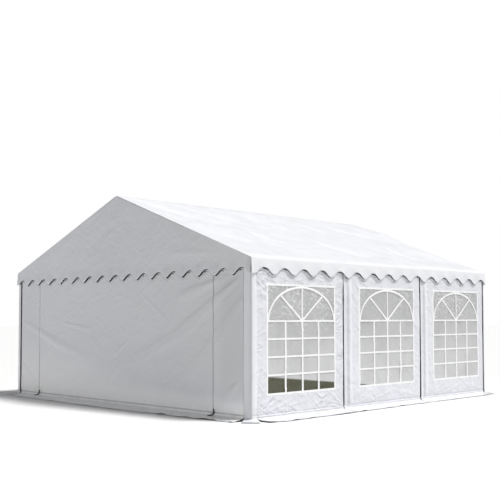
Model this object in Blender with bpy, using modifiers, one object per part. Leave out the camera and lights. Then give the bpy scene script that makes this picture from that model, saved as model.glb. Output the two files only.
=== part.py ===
"""Marquee tent, 6 m by 6 m: a steel tube frame under white PVC sheeting, with windows in both long walls.

Units are metres and +Z is up. The origin is on the ground, under the middle of the ridge.
The ridge runs along Y. The front gable faces -Y, and the right wall with its windows faces +X.
"""

import math

import bmesh
import bpy
from mathutils import Matrix, Vector

# Driving dimensions
WIDTH = 6.0
LENGTH = 6.0
EAVE_HEIGHT = 2.18
RIDGE_HEIGHT = 3.30
BAYS = 3

SHEET = 0.003
GAP = 0.0003
TUBE_RADIUS = 0.019
POST_RADIUS = 0.025
TUBE_SIDES = 16

# The walls hang a little inside the valance
WALL_INSET = 0.015
END_WALL_TOP = 2.16
CREASE_HEIGHT = 0.05
SKIRT_REACH = 0.195
SKIRT_EDGE_HEIGHT = 0.0035

DOOR_WIDTH = 4.5
SEAM_GAP = 0.0005

# A window is measured from the left post of its bay, as seen from outside
WINDOW_LEFT = 0.337
WINDOW_WIDTH = 1.391
WINDOW_SILL = 0.352
WINDOW_HEIGHT = 1.455
PANE_LAP = 0.02
PANE_THICKNESS = 0.002

# The valance is measured down from the eave to its notches and to the tips of its scallops
VALANCE_NOTCH = 0.13
VALANCE_TIP = 0.213
SIDE_SCALLOPS = 15
GABLE_SCALLOPS = 17
POINTS_PER_SCALLOP = 8

PLATE_THICKNESS = 0.005
PLATE_INNER = 0.097
FITTING_INNER = 0.032
FITTING_OUTER = 0.0153
FITTING_LENGTH = 0.035
FOOT_FITTING_TOP = 0.09
HEAD_FITTING = (2.06, 2.165)
POST_TOP = 2.10
TIE_HEIGHT = 2.035
RIDGE_FITTING_HALF_WIDTH = 0.04
RIDGE_FITTING_HALF_LENGTH = 0.03
RIDGE_FITTING = (3.195, 3.268)

# Worked out from the driving dimensions
HALF_WIDTH = WIDTH / 2
HALF_LENGTH = LENGTH / 2
PITCH = math.atan2(RIDGE_HEIGHT - EAVE_HEIGHT, HALF_WIDTH)
WALL_FACE = HALF_WIDTH - WALL_INSET
WALL_INSIDE = WALL_FACE - SHEET
POST_LINE = WALL_INSIDE - GAP - POST_RADIUS
RAIL_LINE = WALL_INSIDE - GAP - TUBE_RADIUS
RAIL_DEPTH = SHEET + GAP + TUBE_RADIUS
RAFTER_DEPTH = RAIL_DEPTH + 2 * TUBE_RADIUS + GAP
BAY = LENGTH / BAYS
POST_PLACES = [-POST_LINE] + [BAY * k - HALF_LENGTH for k in range(1, BAYS)] + [POST_LINE]
FRAME_PLACES = [-RAIL_LINE] + POST_PLACES[1:-1] + [RAIL_LINE]

# The quarter turns that carry a wall built at the front to each side
SIDE_TURNS = {"front": 0, "right": 90, "back": 180, "left": 270}


def roof_top(x):
    """Height of the roof sheet's outer face at a distance x from the ridge's plane."""
    return EAVE_HEIGHT + (HALF_WIDTH - abs(x)) * math.tan(PITCH)


def below_roof(x, depth):
    """Height at x of a line that runs at this depth square below the roof's outer face."""
    return roof_top(x) - depth / math.cos(PITCH)


def make_material(name, colour, roughness, metallic=0.0, alpha=1.0):
    """A Principled BSDF with one colour."""
    material = bpy.data.materials.new(name)
    material.use_nodes = True
    shader = material.node_tree.nodes["Principled BSDF"]
    shader.inputs["Base Color"].default_value = (*colour, 1.0)
    shader.inputs["Roughness"].default_value = roughness
    shader.inputs["Metallic"].default_value = metallic
    shader.inputs["Alpha"].default_value = alpha
    return material


def clear_scene():
    """Removes every object that the file opens with."""
    for thing in list(bpy.data.objects):
        bpy.data.objects.remove(thing)


def new_collection(name):
    """A collection of this name in the scene."""
    collection = bpy.data.collections.new(name)
    bpy.context.scene.collection.children.link(collection)
    return collection


def add_object(name, mesh, collection, material=None):
    """Links a mesh into a collection as an object."""
    thing = bpy.data.objects.new(name, mesh)
    collection.objects.link(thing)
    if material:
        mesh.materials.append(material)
    return thing


def box_mesh(name, low, high):
    """A box between two corners."""
    low, high = Vector(low), Vector(high)
    shape = bmesh.new()
    placed = Matrix.Translation((low + high) / 2) @ Matrix.Diagonal((*(high - low), 1.0))
    bmesh.ops.create_cube(shape, size=1.0, matrix=placed)
    mesh = bpy.data.meshes.new(name)
    shape.to_mesh(mesh)
    shape.free()
    return mesh


def tube_mesh(name, start, end, radius, clearance=0.0):
    """A round bar between two points, made larger all round and at both ends by the clearance."""
    start, end = Vector(start), Vector(end)
    run = end - start
    radius += clearance
    turn = run.to_track_quat("Z", "Y").to_matrix().to_4x4()
    placed = Matrix.Translation((start + end) / 2) @ turn
    shape = bmesh.new()
    bmesh.ops.create_cone(
        shape,
        cap_ends=True,
        segments=TUBE_SIDES,
        radius1=radius,
        radius2=radius,
        depth=run.length + 2 * clearance,
        matrix=placed,
    )
    mesh = bpy.data.meshes.new(name)
    shape.to_mesh(mesh)
    shape.free()
    mesh.shade_smooth()
    mesh.set_sharp_from_angle(angle=math.radians(40))
    return mesh


def outline_mesh(name, outline, thickness, placed):
    """A flat plate: a closed 2D outline in local X and Y, thickened evenly along local Z."""
    curve = bpy.data.curves.new(name, "CURVE")
    curve.dimensions = "2D"
    curve.fill_mode = "BOTH"
    curve.extrude = thickness / 2
    spline = curve.splines.new("POLY")
    spline.points.add(len(outline) - 1)
    for point, (across, up) in zip(spline.points, outline):
        point.co = (across, up, 0.0, 1.0)
    spline.use_cyclic_u = True
    drawn = bpy.data.objects.new(name, curve)
    bpy.context.scene.collection.objects.link(drawn)
    graph = bpy.context.evaluated_depsgraph_get()
    mesh = bpy.data.meshes.new_from_object(drawn.evaluated_get(graph))
    bpy.data.objects.remove(drawn)
    bpy.data.curves.remove(curve)
    shape = bmesh.new()
    shape.from_mesh(mesh)
    bmesh.ops.remove_doubles(shape, verts=shape.verts, dist=0.0001)
    bmesh.ops.transform(shape, matrix=placed, verts=shape.verts)
    bmesh.ops.recalc_face_normals(shape, faces=shape.faces)
    shape.to_mesh(mesh)
    shape.free()
    return mesh


def add_boolean(thing, operation, other):
    """Joins another object to this one, or cuts it away."""
    modifier = thing.modifiers.new(other.name, "BOOLEAN")
    modifier.operation = operation
    modifier.object = other
    modifier.solver = "EXACT"


def helper(name, mesh, cutters):
    """A shape that is joined or cut away by Booleans, and isn't part of the tent itself."""
    thing = add_object(name, mesh, cutters)
    thing.hide_render = True
    thing.display_type = "WIRE"
    return thing


class Tent:
    """Builds the tent's pieces into its collections."""

    def __init__(self):
        self.parts = new_collection("marquee_tent")
        self.cutters = new_collection("cutters")
        self.steel = make_material("galvanised_steel", (0.62, 0.64, 0.66), 0.42, metallic=0.9)
        self.sheeting = make_material("white_pvc_sheeting", (0.86, 0.87, 0.89), 0.45)
        self.foil = make_material("clear_window_foil", (0.78, 0.80, 0.81), 0.12, alpha=0.35)

    def clearance(self, name, start, end):
        """The cutter that gives a tube its clearance in the fittings around it."""
        name += "_clearance"
        return helper(name, tube_mesh(name, start, end, TUBE_RADIUS, clearance=GAP), self.cutters)

    def rail(self, name, start, end):
        """A straight tube. Returns its cutter."""
        add_object(name, tube_mesh(name, start, end, TUBE_RADIUS), self.parts, self.steel)
        return self.clearance(name, start, end)

    def build_rails(self):
        """Ridge, purlins and eave rails under the roof, tie rails in the gables, and ground rails."""
        ridge_z = below_roof(0, RAIL_DEPTH)
        roof_end = HALF_LENGTH - SHEET - GAP
        self.ridge_clearance = self.rail("ridge_rail", (0, -roof_end, ridge_z), (0, roof_end, ridge_z))
        self.side_clearances = {}
        rail_end = WALL_INSIDE - GAP
        for side, sign in (("right", 1), ("left", -1)):
            purlin_x = sign * HALF_WIDTH / 2
            purlin_z = below_roof(purlin_x, RAIL_DEPTH)
            self.rail("purlin_" + side, (purlin_x, -roof_end, purlin_z), (purlin_x, roof_end, purlin_z))
            x = sign * RAIL_LINE
            eave_z = below_roof(RAIL_LINE, RAIL_DEPTH)
            eave = self.rail("eave_rail_" + side, (x, -rail_end, eave_z), (x, rail_end, eave_z))
            ground = self.rail(
                "ground_rail_" + side, (x, -rail_end, CREASE_HEIGHT), (x, rail_end, CREASE_HEIGHT)
            )
            self.side_clearances[sign] = [eave, ground]
        self.end_clearances = {}
        between_rails = RAIL_LINE - TUBE_RADIUS - GAP
        between_posts = POST_LINE - POST_RADIUS - GAP
        for end, sign in (("front", -1), ("back", 1)):
            y = sign * RAIL_LINE
            ground = self.rail(
                "ground_rail_" + end, (-between_rails, y, CREASE_HEIGHT), (between_rails, y, CREASE_HEIGHT)
            )
            self.rail("tie_rail_" + end, (-between_posts, y, TIE_HEIGHT), (between_posts, y, TIE_HEIGHT))
            self.end_clearances[sign] = [ground]

    def build_roof_frames(self):
        """Four pairs of rafters, each pair joined by its fitting under the ridge rail."""
        low_x = RAIL_LINE + 0.007
        self.rafter_clearances = []
        for number, y in enumerate(FRAME_PLACES, start=1):
            name = f"roof_frame_{number}"
            high = (0, y, below_roof(0, RAFTER_DEPTH))
            feet = [(sign * low_x, y, below_roof(low_x, RAFTER_DEPTH)) for sign in (1, -1)]
            frame = add_object(name, tube_mesh(name, feet[0], high, TUBE_RADIUS), self.parts, self.steel)
            other = helper(
                name + "_left", tube_mesh(name + "_left", feet[1], high, TUBE_RADIUS), self.cutters
            )
            fitting = helper(
                name + "_fitting",
                box_mesh(
                    name + "_fitting",
                    (-RIDGE_FITTING_HALF_WIDTH, y - RIDGE_FITTING_HALF_LENGTH, RIDGE_FITTING[0]),
                    (RIDGE_FITTING_HALF_WIDTH, y + RIDGE_FITTING_HALF_LENGTH, RIDGE_FITTING[1]),
                ),
                self.cutters,
            )
            add_boolean(frame, "UNION", fitting)
            add_boolean(frame, "UNION", other)
            add_boolean(frame, "DIFFERENCE", self.ridge_clearance)
            clearances = []
            for side, foot in zip(("right", "left"), feet):
                clearances.append(self.clearance(f"{name}_{side}_rafter", foot, high))
            self.rafter_clearances.append(clearances)

    def build_posts(self):
        """Eight posts, each with its foot plate and the fittings that hold the rails and rafters."""
        for side, sign in (("right", 1), ("left", -1)):
            for number, y in enumerate(POST_PLACES, start=1):
                self.build_post(f"post_{side}_{number}", sign, number, y)

    def build_post(self, name, sign, number, y):
        """One post. A corner post's fittings stop short of the end wall."""
        x = sign * POST_LINE
        corner = abs(y) == POST_LINE
        inward = -1 if y > 0 else 1
        if corner:
            reaches = sorted((y - inward * FITTING_OUTER, y + inward * FITTING_LENGTH))
            plate_reaches = sorted((y - inward * FITTING_OUTER, y + inward * PLATE_INNER))
        else:
            reaches = (y - FITTING_LENGTH, y + FITTING_LENGTH)
            plate_reaches = (y - PLATE_INNER / 2, y + PLATE_INNER / 2)
        spans = sorted((x + sign * FITTING_OUTER, x - sign * FITTING_INNER))
        plate_spans = sorted((x + sign * FITTING_OUTER, x - sign * PLATE_INNER))
        post = add_object(
            name,
            tube_mesh(name, (x, y, PLATE_THICKNESS / 2), (x, y, POST_TOP), POST_RADIUS),
            self.parts,
            self.steel,
        )
        blocks = {
            "plate": (plate_spans, plate_reaches, (0.0, PLATE_THICKNESS)),
            "foot": (spans, reaches, (PLATE_THICKNESS / 2, FOOT_FITTING_TOP)),
            "head": (spans, reaches, HEAD_FITTING),
        }
        for label, (across, along, heights) in blocks.items():
            block = helper(
                f"{name}_{label}",
                box_mesh(
                    f"{name}_{label}",
                    (across[0], along[0], heights[0]),
                    (across[1], along[1], heights[1]),
                ),
                self.cutters,
            )
            add_boolean(post, "UNION", block)
        clearances = list(self.side_clearances[sign])
        if corner:
            clearances += self.end_clearances[-inward]
        clearances.append(self.rafter_clearances[number - 1][0 if sign > 0 else 1])
        for clear in clearances:
            add_boolean(post, "DIFFERENCE", clear)

    def build_roof(self):
        """The two slopes of the roof sheet, which meet at the ridge."""
        stand_up = Matrix.Rotation(math.radians(90), 4, "X")
        for side, sign in (("right", 1), ("left", -1)):
            name = "roof_slope_" + side
            ridge_x = sign * GAP / 2
            eave_x = sign * HALF_WIDTH
            outline = [
                (ridge_x, roof_top(ridge_x)),
                (eave_x, roof_top(eave_x)),
                (eave_x, below_roof(eave_x, SHEET)),
                (ridge_x, below_roof(ridge_x, SHEET)),
            ]
            add_object(name, outline_mesh(name, outline, LENGTH, stand_up), self.parts, self.sheeting)

    def scallops(self, half, count):
        """Points along a valance's lower edge, from one end to the other, with a tip at each end."""
        middle = EAVE_HEIGHT - (VALANCE_NOTCH + VALANCE_TIP) / 2
        swing = (VALANCE_TIP - VALANCE_NOTCH) / 2
        steps = count * POINTS_PER_SCALLOP
        points = []
        for step in range(steps + 1):
            share = step / steps
            height = middle - swing * math.cos(2 * math.pi * count * share)
            points.append((-half + 2 * half * share, height))
        return points

    def hang(self, side, half_depth, thickness):
        """The placement that stands a flat plate on a side, with its outer face at half_depth."""
        stand_up = Matrix.Rotation(math.radians(90), 4, "X")
        outwards = Matrix.Translation((0, -(half_depth - thickness / 2), 0))
        turn = Matrix.Rotation(math.radians(SIDE_TURNS[side]), 4, "Z")
        return turn @ outwards @ stand_up

    def build_gables_and_valances(self):
        """The gable triangles with their scalloped edge, and the valances along the eaves."""
        half = HALF_WIDTH - SHEET - GAP
        for side in ("front", "back"):
            name = "gable_" + side
            outline = self.scallops(half, GABLE_SCALLOPS)
            outline += [(half, below_roof(half, SHEET + GAP)), (0, below_roof(0, SHEET + GAP))]
            outline += [(-half, below_roof(half, SHEET + GAP))]
            mesh = outline_mesh(name, outline, SHEET, self.hang(side, HALF_LENGTH, SHEET))
            add_object(name, mesh, self.parts, self.sheeting)
        top = below_roof(HALF_WIDTH, SHEET + GAP)
        for side in ("right", "left"):
            name = "valance_" + side
            outline = self.scallops(HALF_LENGTH, SIDE_SCALLOPS)
            outline += [(HALF_LENGTH, top), (-HALF_LENGTH, top)]
            mesh = outline_mesh(name, outline, SHEET, self.hang(side, HALF_WIDTH, SHEET))
            add_object(name, mesh, self.parts, self.sheeting)

    def wall_sheet(self, name, side, left, right, top):
        """A wall sheet that hangs to the crease at the ground rail and spreads out there as a skirt."""
        profile = [
            (WALL_FACE, top),
            (WALL_FACE, CREASE_HEIGHT),
            (WALL_FACE + 0.02, CREASE_HEIGHT - 0.012),
            (WALL_FACE + SKIRT_REACH, SKIRT_EDGE_HEIGHT),
        ]
        shape = bmesh.new()
        corners = [shape.verts.new((left, -out, height)) for out, height in profile]
        edges = [shape.edges.new(pair) for pair in zip(corners, corners[1:])]
        swept = bmesh.ops.extrude_edge_only(shape, edges=edges)["geom"]
        moved = [item for item in swept if isinstance(item, bmesh.types.BMVert)]
        bmesh.ops.translate(shape, vec=(right - left, 0, 0), verts=moved)
        shape.normal_update()
        if shape.faces[:][0].normal.y > 0:
            bmesh.ops.reverse_faces(shape, faces=shape.faces)
        mesh = bpy.data.meshes.new(name)
        shape.to_mesh(mesh)
        shape.free()
        mesh.transform(Matrix.Rotation(math.radians(SIDE_TURNS[side]), 4, "Z"))
        sheet = add_object(name, mesh, self.parts, self.sheeting)
        thicken = sheet.modifiers.new("thickness", "SOLIDIFY")
        thicken.thickness = SHEET
        thicken.offset = -1
        thicken.use_even_offset = True
        return sheet

    def build_side_walls(self):
        """Three window walls on each long side, each with its opening cut through and a pane behind it."""
        top = below_roof(WALL_FACE, SHEET + GAP)
        reach = WALL_FACE
        for side in ("right", "left"):
            turn = Matrix.Rotation(math.radians(SIDE_TURNS[side]), 4, "Z")
            for bay in range(BAYS):
                start = bay * BAY - HALF_LENGTH
                left = max(start + SEAM_GAP / 2, -reach)
                right = min(start + BAY - SEAM_GAP / 2, reach)
                wall = self.wall_sheet(f"window_wall_{side}_{bay + 1}", side, left, right, top)
                hole_left = start + WINDOW_LEFT
                hole_right = hole_left + WINDOW_WIDTH
                hole_top = WINDOW_SILL + WINDOW_HEIGHT
                cutter = helper(
                    f"window_cut_{side}_{bay + 1}",
                    box_mesh(
                        f"window_cut_{side}_{bay + 1}",
                        (hole_left, -WALL_FACE - 0.05, WINDOW_SILL),
                        (hole_right, -WALL_FACE + 0.05, hole_top),
                    ),
                    self.cutters,
                )
                cutter.data.transform(turn)
                add_boolean(wall, "DIFFERENCE", cutter)
                pane_face = WALL_INSIDE - GAP
                pane = box_mesh(
                    f"window_{side}_{bay + 1}",
                    (hole_left - PANE_LAP, -pane_face, WINDOW_SILL - PANE_LAP),
                    (hole_right + PANE_LAP, -pane_face + PANE_THICKNESS, hole_top + PANE_LAP),
                )
                pane.transform(turn)
                add_object(f"window_{side}_{bay + 1}", pane, self.parts, self.foil)

    def build_end_walls(self):
        """In each gable, two fixed wall strips with the wide zipped door between them."""
        reach = WALL_INSIDE - GAP
        half_door = DOOR_WIDTH / 2
        for side in ("front", "back"):
            self.wall_sheet(f"end_wall_{side}_left", side, -reach, -half_door - SEAM_GAP, END_WALL_TOP)
            self.wall_sheet(f"door_{side}", side, -half_door, half_door, END_WALL_TOP)
            self.wall_sheet(f"end_wall_{side}_right", side, half_door + SEAM_GAP, reach, END_WALL_TOP)

    def build(self):
        """Builds every piece, from the frame outwards."""
        self.build_rails()
        self.build_roof_frames()
        self.build_posts()
        self.build_roof()
        self.build_gables_and_valances()
        self.build_side_walls()
        self.build_end_walls()


def main():
    """Builds the tent in an empty scene."""
    clear_scene()
    Tent().build()


main()
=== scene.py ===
"""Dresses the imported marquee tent: sheeting with folds, windows with bars, zips, fittings, light and camera.

Lengths are in metres. A wall is laid out as seen from outside: across runs to the right, up runs up,
and out is the distance from the tent's middle. Side.place carries such a point into the tent's frame.
"""

from __future__ import annotations

import logging
import math
from collections.abc import Callable, Iterable, Sequence
from dataclasses import dataclass, field
from enum import Enum

import bmesh
import bpy
import numpy as np
from mathutils import Matrix, Vector

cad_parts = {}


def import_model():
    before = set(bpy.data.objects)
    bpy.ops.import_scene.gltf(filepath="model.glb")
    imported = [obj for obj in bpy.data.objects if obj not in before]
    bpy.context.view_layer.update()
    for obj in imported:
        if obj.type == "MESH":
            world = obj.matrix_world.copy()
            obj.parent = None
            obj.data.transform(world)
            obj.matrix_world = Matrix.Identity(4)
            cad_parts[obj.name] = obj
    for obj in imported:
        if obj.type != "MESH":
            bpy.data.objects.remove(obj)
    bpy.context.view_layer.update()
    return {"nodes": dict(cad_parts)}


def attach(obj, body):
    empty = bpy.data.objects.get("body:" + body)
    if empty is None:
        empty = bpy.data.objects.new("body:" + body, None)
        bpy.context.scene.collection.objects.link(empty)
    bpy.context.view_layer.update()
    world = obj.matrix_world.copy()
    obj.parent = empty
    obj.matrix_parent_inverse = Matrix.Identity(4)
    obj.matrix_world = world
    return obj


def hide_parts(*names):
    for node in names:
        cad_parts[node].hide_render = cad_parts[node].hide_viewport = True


LOG = logging.getLogger("marquee_tent")
Field = np.ndarray
Socket = bpy.types.NodeSocket
Colour = tuple[float, float, float]

# The tent's plan and heights. Across and out are measured from the middle of its footprint.
HALF = 3.0
BAY = 2.0
EAVE = 2.18
RIDGE = 3.30
RISE = (RIDGE - EAVE) / HALF
SLOPE = math.atan(RISE)
SLOPE_LENGTH = HALF / math.cos(SLOPE)

# The walls: the middle of a corner post, the bend of the sheeting round it, and the sheets' outer face.
CORNER_POST = 2.9567
POST_BEND = 0.0445
WALL_FACE = 2.985
WALL_HEIGHT = 1.96

# The height of the bend where a wall turns out into its skirt, and the first grid lines above it.
CREASE = 0.05
CREASE_ROWS = (0.0, 0.006, 0.012, 0.018, 0.024, 0.030, 0.037, 0.046, 0.058)
# Above this height a wall's grid lines follow its upper edge, in so many rows.
TOP_BAND = 1.90
TOP_ROWS = 8
# The height of that edge at a corner, and how far it reaches up behind the valance elsewhere.
CORNER_TOP = 2.058
BEHIND_VALANCE = 0.014
# How far along the wall that edge is moved, so that it meets the valance as seen from the near corner.
VALANCE_SHIFT = 0.028

# How far the skirt reaches out at places across a long side and across an end, and what is taken off both.
LONG_SKIRT = ((-3.0, 0.23), (-2.5, 0.30), (-1.3, 0.29), (0.0, 0.24), (3.0, 0.20))
END_SKIRT = ((-3.0, 0.23), (-1.8, 0.28), (-0.2, 0.33), (0.8, 0.31), (3.0, 0.235))
SKIRT_TRIM = 0.012
# Its hem's height above the ground, and its grid lines from the hem to the crease.
HEM_HEIGHT = 0.0032
SKIRT_ROWS = (1.0, 0.97, 0.9, 0.78, 0.66, 0.54, 0.42, 0.31, 0.21, 0.13, 0.07, 0.03, 0.01)

# The grid lines of a valance, as shares of its depth from the hem up.
VALANCE_ROWS = (1.0, 0.94, 0.86, 0.75, 0.62, 0.48, 0.34, 0.2, 0.1)

# Thicknesses, the small gap between two layers, and the slack that comparisons of lengths allow.
SHEET = 0.0025
FOIL_SHEET = 0.001
LAYER_GAP = 0.0004
TINY = 1e-6
# The width of the slit between a corner's flap and the rest of its skirt.
SLIT = 0.002

SHEETING_SLOT = "white_pvc_sheeting"
FOIL_SLOT = "clear_window_foil"


class Side(Enum):
    """A side of the tent, with the quarter turns that carry it from the front."""

    FRONT = 0
    RIGHT = 1
    BACK = 2
    LEFT = 3

    def place(self, across: Field, out: Field, up: Field) -> Field:
        """Points of this side in the tent's frame.

        Args:
            across: Distance to the right of the side's middle, as seen from outside.
            out: Distance from the tent's middle plane.
            up: Height above the ground.

        Returns:
            The points, with x, y and z on the last axis.
        """
        across, out, up = np.broadcast_arrays(across, out, up)
        turned = {
            Side.FRONT: (across, -out),
            Side.RIGHT: (out, across),
            Side.BACK: (-across, out),
            Side.LEFT: (-out, -across),
        }[self]
        return np.stack([turned[0], turned[1], up], axis=-1)


# Where each side's seeds for its creases start.
SEEDS = {Side.RIGHT: 100, Side.LEFT: 200, Side.FRONT: 300, Side.BACK: 400}


def ease(value: Field, low: float, high: float) -> Field:
    """A smooth step from 0 at low to 1 at high."""
    share = np.clip((value - low) / (high - low), 0.0, 1.0)
    return share * share * (3.0 - 2.0 * share)


def bump(value: Field, middle: float, width: float) -> Field:
    """A round hump of height 1 around middle."""
    return np.exp(-(((value - middle) / width) ** 2))


def stations(start: float, end: float, step: float, stops: Iterable[float] = ()) -> Field:
    """Grid lines from start to end about step apart, with a line on every stop between them."""
    marks = sorted({start, end, *(s for s in stops if start < s < end)})
    runs = [
        np.linspace(a, b, max(1, round((b - a) / step)), endpoint=False)
        for a, b in zip(marks, marks[1:])
    ]
    return np.concatenate([*runs, [end]])


def soft_limit(value: Field, lowest: Field, highest: float) -> Field:
    """Holds a value between minus lowest and highest, and flattens it towards both."""
    return np.where(value > 0, highest * np.tanh(value / highest), -lowest * np.tanh(-value / lowest))


class Relief:
    """Smooth random relief that is the same on every run."""

    def __init__(self, seed: int) -> None:
        """Fills the table of heights.

        Args:
            seed: Chooses the relief.
        """
        self.heights = np.random.RandomState(seed).uniform(-1.0, 1.0, (128, 128))

    def waves(self, across: Field, up: Field, size: float) -> Field:
        """Rolling relief between -1 and 1 with humps about this size."""
        x, y = np.asarray(across) / size + 40.3, np.asarray(up) / size + 40.7
        column, row = np.floor(x).astype(int), np.floor(y).astype(int)
        x, y = x - column, y - row
        x, y = x * x * x * (x * (6 * x - 15) + 10), y * y * y * (y * (6 * y - 15) + 10)
        column, row = column % 128, row % 128
        right, above = (column + 1) % 128, (row + 1) % 128
        low = self.heights[column, row] * (1 - x) + self.heights[right, row] * x
        high = self.heights[column, above] * (1 - x) + self.heights[right, above] * x
        return low * (1 - y) + high * y

    def creases(self, across: Field, up: Field, size: float, lean: float, stretch: float) -> Field:
        """Sharp creases up to 1 high that run mostly along one direction.

        Args:
            across: Distance along the sheet.
            up: Height on the sheet.
            size: Distance between creases.
            lean: Direction of the creases above the horizontal, in degrees.
            stretch: How much longer than wide a crease is.
        """
        turn = math.radians(lean)
        along = across * math.cos(turn) + up * math.sin(turn)
        beside = up * math.cos(turn) - across * math.sin(turn)
        beside = beside + 0.35 * size * self.waves(across + 7.1, up, 1.7 * size)
        lines = np.abs(self.waves(along / stretch, beside, size))
        strength = ease(self.waves(across, up + 9.0, 3.1 * size), -0.3, 0.5)
        return (1.0 - np.clip(lines * 3.2, 0.0, 1.0)) ** 1.5 * strength


@dataclass(frozen=True)
class Fold:
    """A long fold between two points of a sheet, each across and up. A negative height is a valley."""

    start: tuple[float, float]
    end: tuple[float, float]
    width: float
    height: float

    def relief(self, across: Field, up: Field) -> Field:
        """How far the fold lifts the sheet at each point."""
        (x0, y0), (x1, y1) = self.start, self.end
        run, climb = x1 - x0, y1 - y0
        length = math.hypot(run, climb)
        share = ((across - x0) * run + (up - y0) * climb) / length**2
        beside = ((across - x0) * climb - (up - y0) * run) / length
        wide = self.width * (0.55 + 0.9 * np.clip(share, 0.0, 1.0))
        taper = ease(share, -0.08, 0.25) * (1.0 - ease(share, 0.65, 1.08))
        return self.height * taper * np.exp(-((beside / wide) ** 2))


@dataclass(frozen=True)
class Crumple:
    """The random part of a sheet's relief: soft billows, and short creases that lean both ways."""

    seed: int
    billow: float = 0.006
    crease: float = 0.004
    lean: float = 35.0

    def relief(self, across: Field, up: Field) -> Field:
        """How far the sheet stands out of its plane at each point."""
        noise = Relief(self.seed)
        soft = noise.waves(across, up, 0.62) + 0.45 * noise.waves(across, up, 0.27)
        sharp = (
            noise.creases(across, up, 0.21, self.lean, 2.6)
            + 0.8 * noise.creases(across + 3.3, up, 0.17, -self.lean, 2.2)
            + 0.45 * noise.creases(across, up + 5.7, 0.09, 12.0, 2.0)
        )
        return self.billow * soft + self.crease * sharp


class NodeGraph:
    """A node tree under construction, for a material or for geometry."""

    def __init__(self, tree: bpy.types.NodeTree) -> None:
        """Wraps the tree.

        Args:
            tree: The tree that the nodes are added to.
        """
        self.tree = tree

    def add(
        self, kind: str, inputs: dict[str | int, object] | None = None, **settings: object
    ) -> bpy.types.Node:
        """Adds a node.

        Args:
            kind: Blender's name of the node's type.
            inputs: For each input socket, a value or the output socket that feeds it.
            **settings: Properties of the node itself.

        Returns:
            The new node.
        """
        node = self.tree.nodes.new(kind)
        for key, value in settings.items():
            setattr(node, key, value)
        for key, value in (inputs or {}).items():
            if isinstance(value, Socket):
                self.tree.links.new(value, node.inputs[key])
            else:
                node.inputs[key].default_value = value
        return node

    def maths(self, operation: str, *values: object) -> Socket:
        """The result of a Math node on these values or sockets."""
        return self.add("ShaderNodeMath", dict(enumerate(values)), operation=operation).outputs[0]

    def times(self, first: object, second: object) -> Socket:
        """The product of two values or sockets."""
        return self.maths("MULTIPLY", first, second)

    def plus(self, first: object, second: object) -> Socket:
        """The sum of two values or sockets."""
        return self.maths("ADD", first, second)

    def minus(self, first: object, second: object) -> Socket:
        """The first value or socket less the second."""
        return self.maths("SUBTRACT", first, second)

    def over(self, first: object, second: object) -> Socket:
        """The first value or socket divided by the second."""
        return self.maths("DIVIDE", first, second)

    def place(self) -> Socket:
        """The place on the tent."""
        return self.add("ShaderNodeTexCoord").outputs["Object"]

    def cloth(self) -> Socket:
        """The place on the flat cloth, in metres."""
        return self.add("ShaderNodeUVMap", uv_map="cloth").outputs[0]

    def axes(self, vector: Socket) -> bpy.types.NodeOutputs:
        """The three parts of a vector."""
        return self.add("ShaderNodeSeparateXYZ", {0: vector}).outputs

    def feed(self, shader: bpy.types.Node, socket: str, value: Socket) -> None:
        """Links a value to one of the shader's sockets."""
        self.tree.links.new(value, shader.inputs[socket])

    def emboss(self, shader: bpy.types.Node, height: Socket) -> None:
        """Gives the shader fine relief of this height, in metres."""
        relief = self.add("ShaderNodeBump", {"Strength": 1.0, "Distance": 1.0, "Height": height})
        self.feed(shader, "Normal", relief.outputs[0])

    def warped(self, place: Socket, scale: float, reach: float) -> Socket:
        """A place moved about by noise, so that straight patterns on it bend."""
        keys = {"Vector": place, "Scale": scale, "Detail": 1.0}
        warp = self.add("ShaderNodeTexNoise", keys).outputs["Color"]
        moved = self.add("ShaderNodeVectorMath", {0: warp, 3: reach}, operation="SCALE").outputs[0]
        return self.add("ShaderNodeVectorMath", {0: place, 1: moved}, operation="ADD").outputs[0]

    def leaning(self, place: Socket, lean: float) -> Socket:
        """A place turned and squeezed, so that a pattern on it is drawn out in one direction.

        Args:
            place: The place.
            lean: The direction above the horizontal, in degrees.
        """
        keys = {"Vector": place, "Angle": math.radians(-lean)}
        turned = self.add("ShaderNodeVectorRotate", keys, rotation_type="Z_AXIS").outputs[0]
        keys = {0: turned, 1: (0.30, 1.0, 1.0)}
        return self.add("ShaderNodeVectorMath", keys, operation="MULTIPLY").outputs[0]

    def ridges(self, place: Socket, scale: float, width: float) -> Socket:
        """Thin lines, 1 along their middle and 0 away from them."""
        away = self.maths("ABSOLUTE", self.minus(self.noise(place, scale, 1.0), 0.5))
        return self.between(away, 0.0, width, 1.0, 0.0)

    def vector(self, x: object, y: object, z: object) -> Socket:
        """A vector joined from three values or sockets."""
        return self.add("ShaderNodeCombineXYZ", {0: x, 1: y, 2: z}).outputs[0]

    def noise(self, place: Socket, scale: float, detail: float) -> Socket:
        """The value of a noise texture at a place."""
        return self.add("ShaderNodeTexNoise", {"Vector": place, "Scale": scale, "Detail": detail}).outputs[0]

    def between(self, value: Socket, low: float, high: float, to_low: object, to_high: object) -> Socket:
        """A value carried from one range into another, and held inside it."""
        keys = {"Value": value, "From Min": low, "From Max": high, "To Min": to_low, "To Max": to_high}
        return self.add("ShaderNodeMapRange", keys).outputs[0]

    def blend(self, share: Socket, first: object, second: object) -> Socket:
        """A colour between two colours."""
        node = self.add("ShaderNodeMix", {0: share, 6: first, 7: second}, data_type="RGBA")
        return node.outputs[2]


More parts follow.
